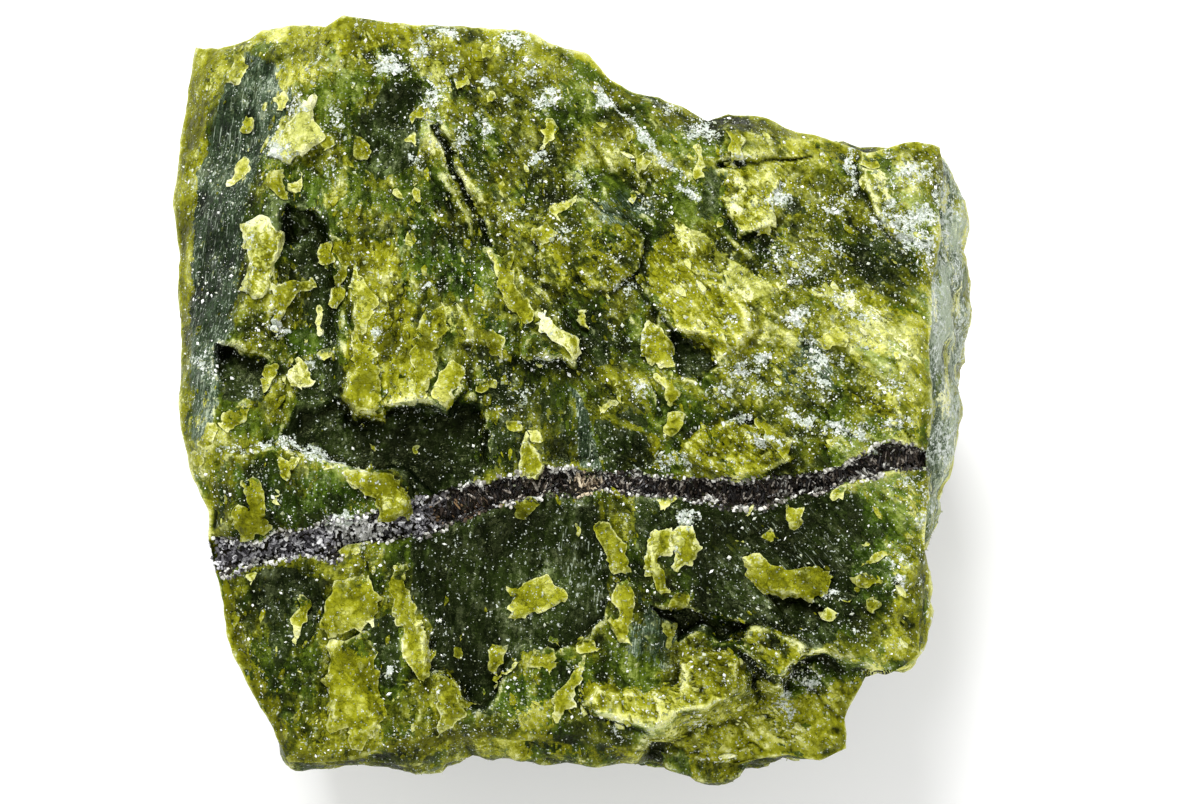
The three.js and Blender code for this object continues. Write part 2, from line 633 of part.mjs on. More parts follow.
/** Adds the face's grid, and returns its rim's points and indices, counterclockwise seen from above. */
function addFace(maker) {
  const grid = [];
  for (let row = 0; row <= FACE_ROWS; row++) {
    const line = [];
    for (let column = 0; column <= FACE_COLUMNS; column++) {
      const [u, v] = facePlace(column / FACE_COLUMNS, row / FACE_ROWS);
      const point = fromFace(u, v, faceHeight(u, v));
      line.push({ place: [u, v], point, index: maker.add(roughen(point)) });
    }
    grid.push(line);
  }
  for (let row = 0; row < FACE_ROWS; row++) {
    for (let column = 0; column < FACE_COLUMNS; column++) {
      const corners = [grid[row][column], grid[row + 1][column], grid[row + 1][column + 1], grid[row][column + 1]];
      maker.quad(...corners.map((corner) => corner.index));
    }
  }
  const left = grid.map((line) => line[0]);
  const right = grid.map((line) => line.at(-1)).reverse();
  const top = grid[0].toReversed();
  const bottom = grid.at(-1);
  return [top, left, bottom, right].flatMap((side) => side.slice(0, -1));
}

/** Unit vectors that point out from a counterclockwise ring of points, smoothed along it. */
function outwards(ring, reach) {
  const count = ring.length;
  return ring.map((_, i) => {
    const ahead = ring[(i + reach) % count];
    const behind = ring[(i - reach + count) % count];
    return new THREE.Vector3(ahead.y - behind.y, behind.x - ahead.x, 0).normalize();
  });
}

/** How far the side stands out from the rim, at each of the rim's points, as a function of the depth. */
function sideProfiles(rim) {
  const stations = SIDES.map(({ near, out }) => {
    const distances = rim.map(({ place }) => Math.hypot(place[0] - near[0], place[1] - near[1]));
    return { at: distances.indexOf(Math.min(...distances)), out };
  }).sort((a, b) => a.at - b.at);
  const outAt = (out, depth) => {
    const i = Math.max(1, SIDE_DEPTHS.findIndex((d) => depth <= d));
    return lerp(out[i - 1], out[i], (depth - SIDE_DEPTHS[i - 1]) / (SIDE_DEPTHS[i] - SIDE_DEPTHS[i - 1]));
  };
  return rim.map((_, i) => {
    const after = stations.find((station) => station.at > i) ?? stations[0];
    const before = stations.findLast((station) => station.at <= i) ?? stations.at(-1);
    const span = (after.at - before.at + rim.length) % rim.length || rim.length;
    const share = ((i - before.at + rim.length) % rim.length) / span;
    return (depth) => lerp(outAt(before.out, depth), outAt(after.out, depth), share);
  });
}

function makeBody() {
  const maker = new MeshMaker();
  const rim = addFace(maker);
  const away = outwards(rim.map(({ point }) => point), 4);
  const profiles = sideProfiles(rim);

  const bareSide = (i, depth) => {
    const top = rim[i].point;
    const point = top.clone().addScaledVector(away[i], profiles[i](depth));
    point.z = lerp(top.z, FOOT_HEIGHT, depth);
    return point;
  };
  const sidePoint = (share, depth) => {
    const i = Math.floor(share * rim.length) % rim.length;
    const reach = Math.round(CORNER_ROUNDING * depth);
    const point = new THREE.Vector3();
    for (let k = -reach; k <= reach; k++) {
      const neighbour = bareSide((i + k + rim.length) % rim.length, depth);
      point.addScaledVector(neighbour, 1 / (2 * reach + 1));
    }
    const start = smoothstep(depth / SCALES_START) * smoothstep(point.z / ROUGHNESS_FADE);
    const bare = point.clone();
    for (const [size, steps, height] of SCALES) {
      point.addScaledVector(away[i], start * height * (scales(bare, size, steps) - SCALES_SUNK));
    }
    return point;
  };
  const ring = (count, pointAt) => {
    return Array.from({ length: count }, (_, i) => maker.add(pointAt(i / count)));
  };

  let above = rim.map(({ index }) => index);
  WALL_DEPTHS.forEach((depth, i) => {
    const count = i < DENSE_RINGS ? rim.length : WALL_COLUMNS;
    const below = ring(count, (share) => roughen(sidePoint(share, depth)));
    maker.bridge(above, below);
    above = below;
  });

  const middle = new THREE.Vector3();
  rim.forEach((_, i) => middle.addScaledVector(sidePoint(i / rim.length, 1), 1 / rim.length));
  const solePoint = (share, inset, z) => {
    const point = sidePoint(share, 1).lerp(middle, inset);
    point.z = z;
    return point;
  };
  for (const { count, inset, z } of SOLE_RINGS) {
    const below = ring(count, (share) => solePoint(share, inset, z));
    maker.bridge(above, below);
    above = below;
  }
  const centre = maker.add(new THREE.Vector3(middle.x, middle.y, SOLE_HOLLOW));
  above.forEach((index, i) => maker.triangles.push(index, centre, above[(i + 1) % above.length]));
  return maker.solid();
}

/** A flake: its outline stands on the face, rooted in the stone below and flat-topped above. */
function makeFlake({ outline, thick }) {
  const contour = outline.map(([u, v]) => new THREE.Vector2(u, v));
  if (THREE.ShapeUtils.isClockWise(contour)) contour.reverse();
  const maker = new MeshMaker();
  const layer = (offset) => contour.map(({ x: u, y: v }) => {
    return maker.add(roughen(fromFace(u, v, faceHeight(u, v) + offset)));
  });
  const [top, root] = [layer(thick), layer(-FLAKE_ROOT)];
  for (const [a, b, c] of THREE.ShapeUtils.triangulateShape(contour, [])) {
    maker.triangles.push(top[a], top[b], top[c], root[c], root[b], root[a]);
  }
  top.forEach((_, i) => {
    const next = (i + 1) % top.length;
    maker.quad(top[i], root[i], root[next], top[next]);
  });
  return maker.solid();
}

/** The trench of the vein: a four-sided bar that follows the face along the vein's line. */
function makeVeinTrench() {
  const maker = new MeshMaker();
  const half = VEIN_WIDTH / 2;
  const sections = VEIN.map(([u, v], i) => {
    const [before, after] = [VEIN[Math.max(0, i - 1)], VEIN[Math.min(VEIN.length - 1, i + 1)]];
    const length = Math.hypot(after[0] - before[0], after[1] - before[1]);
    const across = [-(after[1] - before[1]) / length, (after[0] - before[0]) / length];
    const corner = (side, offset) => {
      const [cu, cv] = [u + side * across[0], v + side * across[1]];
      return maker.add(roughen(fromFace(cu, cv, faceHeight(cu, cv) + offset)));
    };
    return [
      corner(half * 1.3, 2.5), corner(-half * 1.3, 2.5), corner(-half * 0.6, -VEIN_DEPTH), corner(half * 0.6, -VEIN_DEPTH),
    ];
  });
  for (let i = 0; i < sections.length - 1; i++) {
    const [here, there] = [sections[i], sections[i + 1]];
    here.forEach((_, k) => {
      const next = (k + 1) % 4;
      maker.quad(here[k], here[next], there[next], there[k]);
    });
  }
  maker.quad(...sections[0].toReversed());
  maker.quad(...sections.at(-1));
  return maker.solid();
}

/** The outer shell alone: gaps that a flake has sealed off over a hollow are filled. */
function outerShell(solid) {
  return solid.decompose().reduce((a, b) => (a.volume() > b.volume() ? a : b));
}

function toGeometry(solid) {
  const { vertProperties, triVerts } = solid.getMesh();
  const geometry = new THREE.BufferGeometry();
  geometry.setAttribute('position', new THREE.BufferAttribute(vertProperties, 3));
  geometry.setIndex(new THREE.BufferAttribute(triVerts, 1));
  return mergeVertices(geometry);
}

/** Puts the middle of the geometry's box over the origin, and its lowest point at z = 0. */
function standAtOrigin(geometry) {
  geometry.computeBoundingBox();
  const { min, max } = geometry.boundingBox;
  geometry.translate(-(min.x + max.x) / 2, -(min.y + max.y) / 2, -min.z);
}

// ---------------------------------------------------------------- the part

let stone = makeBody();
for (const flake of FLAKES) stone = stone.add(makeFlake(flake));
stone = stone.subtract(makeVeinTrench());

const geometry = toGeometry(outerShell(stone));
standAtOrigin(geometry);
const material = new THREE.MeshStandardMaterial({ color: 0x747f2a, roughness: 0.45, metalness: 0 });
const serpentine = new THREE.Mesh(geometry, material);
serpentine.name = 'serpentine';

const part = new THREE.Group();
part.add(serpentine);
export default part;
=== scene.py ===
"""Raw serpentine: the looks of the stone.

The stone's broad face is described in the same face frame as the CAD part (u to the right, v up the face,
w out of it, in millimetres) with the same outlines, and is then turned into the row frame in metres. The
script adds what is too fine for the CAD solid: crisp ledges, scars, flakes, the vein's fibres and the dust.
"""

import math

import bpy
import numpy as np
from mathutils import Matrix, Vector
from mathutils.geometry import delaunay_2d_cdt


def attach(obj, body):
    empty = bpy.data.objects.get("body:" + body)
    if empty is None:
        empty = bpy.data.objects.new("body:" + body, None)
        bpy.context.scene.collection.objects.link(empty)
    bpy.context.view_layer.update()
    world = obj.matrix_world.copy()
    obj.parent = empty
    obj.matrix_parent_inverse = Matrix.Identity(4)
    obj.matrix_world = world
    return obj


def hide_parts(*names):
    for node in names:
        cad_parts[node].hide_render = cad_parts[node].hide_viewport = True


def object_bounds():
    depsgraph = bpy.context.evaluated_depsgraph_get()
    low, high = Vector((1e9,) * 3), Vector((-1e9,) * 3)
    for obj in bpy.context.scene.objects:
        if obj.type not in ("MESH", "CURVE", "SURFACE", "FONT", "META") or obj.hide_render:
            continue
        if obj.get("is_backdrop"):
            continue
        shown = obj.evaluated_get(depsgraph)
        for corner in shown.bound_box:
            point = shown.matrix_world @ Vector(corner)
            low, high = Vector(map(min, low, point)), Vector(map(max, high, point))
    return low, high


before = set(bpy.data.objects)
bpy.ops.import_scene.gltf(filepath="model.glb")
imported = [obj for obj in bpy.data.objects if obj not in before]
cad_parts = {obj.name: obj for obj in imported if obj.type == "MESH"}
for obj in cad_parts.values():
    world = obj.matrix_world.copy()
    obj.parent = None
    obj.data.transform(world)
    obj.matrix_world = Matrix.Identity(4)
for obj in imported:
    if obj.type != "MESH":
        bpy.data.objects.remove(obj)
CAD_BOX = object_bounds()

NODE = "serpentine"
BODY = "root"

# ---------------------------------------------------------------- driving dimensions (mm)

MM = 0.001
BOX_MARGIN = np.array([0.02, 0.02, 0.0]) * MM
LEAN = math.radians(20)
RISE = 35.7  # of the face frame's origin above the floor
NEAR_POINT = 300  # distance from the face to the eye, which looks straight at (SIGHT_U, SIGHT_V)
SIGHT_U, SIGHT_V = 2.2, -0.2
CENTRE = (-0.174, 2.687)  # where the middle of the stone's box lies before it is moved to the origin

FACE_COLUMNS = 280  # cells of the skin, across and down the face, and round and down the sides
FACE_ROWS = 268
WALL_COLUMNS = 360
WALL_ROWS = 54
WALL_END = 0.985  # how far down the side its last ring lies
DENSE_RINGS = 3  # uppermost rings of the side, with as many points as the rim
SOLE_COLUMNS = 180
RIM_POINTS = 164  # of the CAD part's own rim, over which its sides are smoothed
CORNER_ROUNDING = 7  # how many of those points the foot's corners are rounded over, to either side
FOOT_HEIGHT = 2.6
SOLE_HOLLOW = 1.1
SOLE_RINGS = [  # how far in from the foot, as a share, and height
    (0.0, 2.5), (0.04, 1.2), (0.12, 0.0), (0.28, 0.0), (0.45, 0.0), (0.7, SOLE_HOLLOW)
]

MAIN_FALL = 0.17  # how much the upper half of the face falls for each mm up
LOW_FALL = 0.05  # the same in the lower half
RIM_ROLL = 1.2  # how far the face's border rolls down, over the width that follows
RIM_ROLL_WIDTH = 2.6
STEP_WIDTH = 0.24  # half the width of the slope at a sharp edge of a ledge or pit
CAD_STEP_WIDTH = 0.7  # the same in the CAD part
FLAKE_BED_STEP = 0.5  # the same under the flakes
SOFT_EDGE = 1.5  # how much further in the slope reaches where the edge is soft
VEIN_WIDTH = 2.6  # this and the depth are 0.2 mm more than in the CAD part
VEIN_DEPTH = 1.1
ROUGHNESS = [  # size of the lumps and how far they reach; the last two are too fine for the CAD part
    (9, 0.55), (4, 0.35), (1.9, 0.2), (0.8, 0.08)
]
ROUGHNESS_FADE = 5  # height over which the roughness begins above the floor
SCALES = [(15, 2, 1.2), (6.5, 2, 0.6)]  # scars of the sides: size, steps and height of a step
SCALE_EDGE = 0.3  # share of a step that is slope
SCALES_START = 0.08  # share of the way down the side over which the scars begin
SCALES_SUNK = 0.8  # the step that is flush with the side
LARGE_PLATES = (3.1, 5.2, 2)  # splintery plates of the face: width, length and seed
SMALL_PLATES = (1.25, 2.1, 5)
FLAKE_PLATES = (1.3, 2.2, 3)  # the same on the flakes
FLAKE_SPLINTERS = (0.62, 1.0, 8)
CONVEX_HEIGHTS = [("ridge", 0.16), ("swell", 0.6), ("bulk", 1.6)]  # stored as shares of these
ROW_HEIGHT = 1.5  # of the rows in which the outermost point of the right side is looked for
FLAKE_CELL = 0.21
FLAKE_THICKNESS = 0.62  # share of the thickness that a flake has in the CAD part
CHIPS = 2000
GRAINS = 21000
FIBRES = 3600

# ---------------------------------------------------------------- studio (m, watts)

FLOOR_REACH = 4.0
FLOOR_GLOW = 0.14
WORLD_LIGHT = 0.5
LIGHT_TARGET = (0, 0, 0.02)
LIGHTS = [  # name, place, size and power
    ("key", (-0.1, 0.34, 0.5), (0.26, 0.2), 5.0),
    ("fill", (0.12, -0.42, 0.36), (0.4, 0.25), 1.7),
]
LENS = 102.27

# ---------------------------------------------------------------- outlines of the face: (u, v) in mm

TOP_RIM = [
    (-33, 30.8), (-30.8, 30.7), (-28.6, 31.5), (-27.5, 32.6), (-25.1, 32.9), (-22, 33), (-20.2, 34.1),
    (-16.7, 33.1), (-13.2, 33.3), (-9.2, 32.9), (-4.8, 32.3), (-1.3, 31.3), (1.3, 30.3), (3.1, 28.3),
    (5.3, 27.3), (7.5, 27), (11.9, 24.7), (13.6, 25.6), (16.3, 25.1), (18.9, 24.1), (22.4, 22.9),
    (25.1, 21.8), (29.9, 22.4), (32.1, 22),
]
RIGHT_RIM = [
    (32.1, 22), (32.3, 19.4), (31.7, 15), (31.4, 8.8), (31.2, 0), (30.8, -7), (30.8, -19.4), (30.5, -22.9),
    (29, -23.9), (26.4, -23.9), (25.3, -25.5), (24, -27.7), (23.8, -30.4),
]
BOTTOM_RIM = [
    (-25.3, -32.4), (-21.6, -32.1), (-17.2, -31.3), (-11.9, -30.4), (-6.6, -29.5), (-1.3, -29.9),
    (2.2, -30.1), (5.7, -30.4), (9.2, -31.2), (11, -31.6), (13.6, -31.9), (16.3, -31.6), (18.9, -30.8),
    (21.6, -31.5), (23.8, -30.4),
]
LEFT_RIM = [
    (-33, 30.8), (-34.1, 27.3), (-34.7, 23.8), (-35.1, 14.1), (-35.1, 8.8), (-34.6, -2.6), (-33.7, -7),
    (-32.6, -9.7), (-31.2, -16.7), (-30.2, -21.1), (-28.5, -25.4), (-26.7, -28.9), (-25.3, -32.4),
]

# In the next tables, the names are those of the CAD part's own.
# Ridges where the face breaks into another facet: it falls away on the left of each line, by `fall` for each
# mm, or on the right where `side` is -1.
FACETS = [
    dict(name="left facet", fall=0.85, ridge=[(-33.6, -9), (-32.2, -3.5), (-27.5, 14.1), (-21.6, 31.7)]),
    dict(name="right shoulder", fall=0.33, side=-1, ridge=[
        (31, 0.5), (24.2, 4.4), (16.3, 11.4), (11, 18.5), (5.3, 27),
    ]),
]

# Ledges, lumps, hollows and pits: each raises or sinks what is inside its outline, by `lift` at `at` and
# with `tilt` (rise per mm along u and v), so that one edge can be flush and the opposite one a step.
# `soft` edges slope further in, and `knobs` make a crust knobbly.
RELIEF = [
    dict(name="upper layer", at=(-11, 0), lift=1.5, tilt=(0, -0.08), outline=[
        (-15, 18), (-21, 16), (-20.5, 11), (-19.6, 7), (-19.7, 3), (-20.9, -0.5), (-19.4, -1.9),
        (-17.1, -2), (-16.9, -0.4), (-13.3, 0), (-11.4, -0.8), (-9.8, 1.4), (-9.5, 4), (-6.5, 3.5),
        (-0.5, 2.4), (0.2, 5), (-1, 9), (-5, 13), (-9, 16),
    ]),
    dict(name="left groove", at=(-23, 6), lift=-1.4, tilt=(-0.34, 0), outline=[
        (-25.5, 17), (-23, 16.4), (-21.3, 14), (-20.4, 8), (-20.2, 2), (-21.2, -1), (-24.6, -1), (-26, 2),
        (-26.5, 6), (-25.8, 13),
    ]),
    dict(name="dark scoop", at=(-15, -3.5), lift=-1.2, tilt=(0, -0.1), outline=[
        (-25.5, -3), (-24.5, -1), (-20.9, -0.6), (-19.4, -2), (-16, -0.5), (-12, 0.2), (-8.5, 0.5),
        (-7.6, -3), (-7, -7), (-10, -9), (-16, -6.8), (-20.5, -6.4), (-24, -4.6),
    ]),
    dict(name="centre facet", at=(-1, -2), lift=-0.6, tilt=(0.03, 0.12), soft=2, outline=[
        (-5.2, 2.4), (-4.6, -6.5), (0, -6), (5, -5.5), (5.2, -1.5), (3.5, 0.2), (0.6, 1.2), (-0.4, 2.4),
    ]),
    dict(name="lower dark face", at=(-5, -17), lift=-0.8, tilt=(0, 0.05), soft=2, outline=[
        (-13.8, -13.5), (-9, -11.2), (-4, -9.8), (1.5, -9.5), (2.4, -12), (3.3, -16), (2.2, -19.5),
        (0.4, -21.8), (-4, -22.5), (-6, -25), (-6.8, -28), (-8.6, -28), (-9.6, -25), (-12.5, -24),
        (-13, -20), (-14.5, -17),
    ]),
    dict(name="left swelling", at=(-25, -8), lift=0.9, tilt=(0, -0.1), soft=1.5, outline=[
        (-32, -4.5), (-25.5, -4), (-20.5, -6.3), (-17, -7), (-14.6, -9.4), (-16, -11), (-22, -11.2),
        (-28, -12), (-32, -12),
    ]),
    dict(name="triangular hollow", at=(-28.7, 2.4), lift=-1.2, tilt=(0.1, -0.5), soft=0.3, outline=[
        (-31.2, 5.2), (-29.4, 4.9), (-26.5, 3.3), (-26.4, 1.6), (-27.4, 0), (-30, -0.3), (-31.2, 0),
    ]),
    dict(name="deep hole", at=(-24.8, 15.2), lift=-1.9, tilt=(0.2, 0.2), outline=[
        (-26, 15.6), (-25.2, 16.8), (-23.6, 16), (-23, 15.2), (-24, 13.6), (-25.4, 13.2),
    ]),
    dict(name="shaded hollow", at=(-15, 26), lift=-0.5, tilt=(0.1, 0), soft=2, outline=[
        (-16.6, 27.6), (-13.6, 28), (-12.9, 25.6), (-13.6, 23.4), (-16, 23.4), (-18, 21), (-19, 24.5),
    ]),
    dict(name="left blade", at=(-11, 18), lift=0.9, tilt=(0.1, -0.06), soft=0.5, outline=[
        (-12.9, 25), (-12, 22.5), (-10.4, 18.6), (-9.3, 15.5), (-9.2, 13.7), (-10, 14), (-12, 17.5),
        (-13.4, 20.5),
    ]),
    dict(name="right blade", at=(-8.8, 17.5), lift=0.9, tilt=(0, -0.1), soft=0.5, outline=[
        (-11.2, 21.5), (-9.6, 20.6), (-8, 18.2), (-8, 17.1), (-9.2, 16.6), (-10.2, 18.6),
    ]),
    dict(name="blade slit", at=(-10, 18), lift=-0.9, tilt=(0, 0), soft=0.5, outline=[
        (-12.4, 24), (-11.7, 24), (-9.9, 18.7), (-8.9, 16.2), (-7.7, 13.4), (-8.5, 13.4), (-10.4, 18.3),
    ]),
    dict(name="olive plate", at=(1, 12), lift=0.7, tilt=(0, 0), soft=1.5, outline=[
        (-3.8, 15.6), (-3, 12.5), (-2.8, 9.8), (-0.2, 8.8), (0.6, 10.4), (3, 9.2), (5.8, 11), (6.6, 14),
        (4, 16.5), (0.2, 18.3), (-2.6, 17),
    ]),
    dict(name="upper right wedge", at=(17.5, 22), lift=0.8, tilt=(0, -0.15), outline=[
        (12, 21.8), (14.5, 21.4), (18, 21.8), (21, 22.6), (22, 23.2), (19, 24.2), (13.6, 25.6), (11.6, 24),
    ]),
    dict(name="upper right slit", at=(16, 21), lift=-1, tilt=(0, 0.2), outline=[
        (12.2, 20.3), (14.4, 20.5), (17, 20.9), (20.4, 21.9), (18, 21.9), (14.4, 21.3), (12.4, 21),
    ]),
    dict(name="pale lump", at=(16.8, 18), lift=0.8, tilt=(-0.08, -0.1), soft=1.5, knobs=0.7, outline=[
        (14.2, 20.3), (17, 20.8), (19.8, 20.8), (20.5, 19.2), (19, 17), (17.2, 15.4), (15, 14.6),
        (13.6, 16.2),
    ]),
    dict(name="corner block", at=(28.5, 17), lift=0.7, tilt=(-0.1, 0), knobs=0.5, outline=[
        (24.4, 22.9), (25, 19), (25.6, 16.4), (27.6, 14.3), (30.6, 13), (33, 12), (33, 22.9),
    ]),
    dict(name="corner pocket", at=(27.6, 21), lift=-0.7, tilt=(0, 0), outline=[
        (26.3, 22.2), (28.8, 22.3), (28.8, 20.6), (27, 20),
    ]),
    dict(name="right hollow", at=(27, 10.5), lift=-0.4, tilt=(0, -0.05), soft=4, outline=[
        (23.4, 13.6), (27, 14.2), (30.3, 12.4), (31, 9), (29.4, 7.9), (26.4, 7.8), (24, 10),
    ]),
    dict(name="yellow lump", at=(10, 10), lift=0.7, tilt=(0.06, -0.1), soft=2, knobs=0.4, outline=[
        (6.6, 13), (8, 16), (10.6, 15.8), (12.6, 12.8), (14.6, 9.8), (16, 6.5), (14.4, 3.2), (12.2, 3.4),
        (11.8, 5.4), (8.6, 6.3), (6.4, 8), (5.4, 10),
    ]),
    dict(name="hollow under the lump", at=(10.4, 4), lift=-0.9, tilt=(0, -0.15), outline=[
        (8.4, 6), (9.6, 5.6), (11.9, 5.1), (12.3, 3.4), (11, 2.2), (9, 2.5),
    ]),
    dict(name="knobs above the vein", at=(13, -4.6), lift=0.8, tilt=(0, -0.08), soft=2, knobs=0.9, outline=[
        (9.2, -3.6), (10.4, -2.6), (12.3, -1.4), (14.6, -2.2), (17.4, -2.4), (18.8, -4.8), (17, -6),
        (13, -7.2), (11.4, -6.2), (9.2, -4.8),
    ]),
    dict(name="right dark slope", at=(21, -15), lift=-0.7, tilt=(0, 0.02), soft=4, outline=[
        (11.6, -9.4), (20, -9), (26, -9.6), (28.6, -12), (28, -15.4), (25.4, -19.4), (22.6, -22.6),
        (20.6, -22.6), (17, -20.5), (12.8, -19), (9.4, -18.6), (10.4, -14.6), (11.8, -12.6),
    ]),
    dict(name="long slit", at=(10.5, -19.8), lift=-1.5, tilt=(0, 0), soft=0.5, outline=[
        (6.8, -18.8), (9.8, -18.8), (12.8, -19.2), (15.4, -20), (14.8, -21.8), (12.8, -20.9),
        (10.8, -20.3), (9.6, -21.4), (8.8, -20.1),
    ]),
    dict(name="hollow under the ledge flake", at=(19.6, -19), lift=-1.1, tilt=(0, -0.35), outline=[
        (16.8, -17.4), (20, -17.8), (22.2, -18.6), (21.6, -20.6), (19.4, -20.4), (17.4, -19),
    ]),
    dict(name="tongue", at=(17, -22.5), lift=1.5, tilt=(0.02, -0.25), knobs=0.4, outline=[
        (12.6, -20.6), (15, -20), (18.5, -20.3), (20, -20.8), (21, -21.8), (20, -22.8), (19.2, -23.5),
        (18.2, -24.9), (16.8, -24.4), (15.8, -23.5), (14.6, -22.3),
    ]),
    dict(name="yellow crust", at=(7, -26.5), lift=1.3, tilt=(0, -0.15), knobs=0.8, outline=[
        (1.2, -23.7), (3, -24.5), (4.6, -25), (7, -24.6), (9.2, -24.4), (9.4, -22.5), (11, -22.3),
        (13, -21.8), (14.8, -23), (14.9, -25), (13.5, -26.5), (11.8, -27.2), (10.2, -27), (9, -28),
        (8, -28.6), (6.3, -28.5), (4, -27.6), (2.1, -27.2), (1.2, -26.4),
    ]),
    dict(name="lower right lump", at=(17, -28), lift=-3.3, tilt=(0, 0.1), knobs=0.8, outline=[
        (5, -31), (6.6, -28.8), (8.2, -28.8), (10.3, -27.3), (12, -27.4), (13.6, -26.7), (15, -25.2),
        (15.2, -23.6), (17, -24.8), (18.3, -25.1), (19.3, -23.7), (20.3, -22.9), (22, -22.8), (25, -23.3),
        (28, -25.2), (26, -34), (8, -34),
    ]),
]

# The dark fibrous vein crosses the whole face as a shallow trench.
VEIN = [
    (-33.5, -13.9), (-31.7, -13.6), (-21.6, -12.3), (-11.9, -10.1), (-4.8, -7.9), (2.2, -7), (9.2, -7.7),
    (14.5, -8.1), (21.6, -6.9), (26.8, -5.5), (30.2, -5.4), (33, -5.6),
]

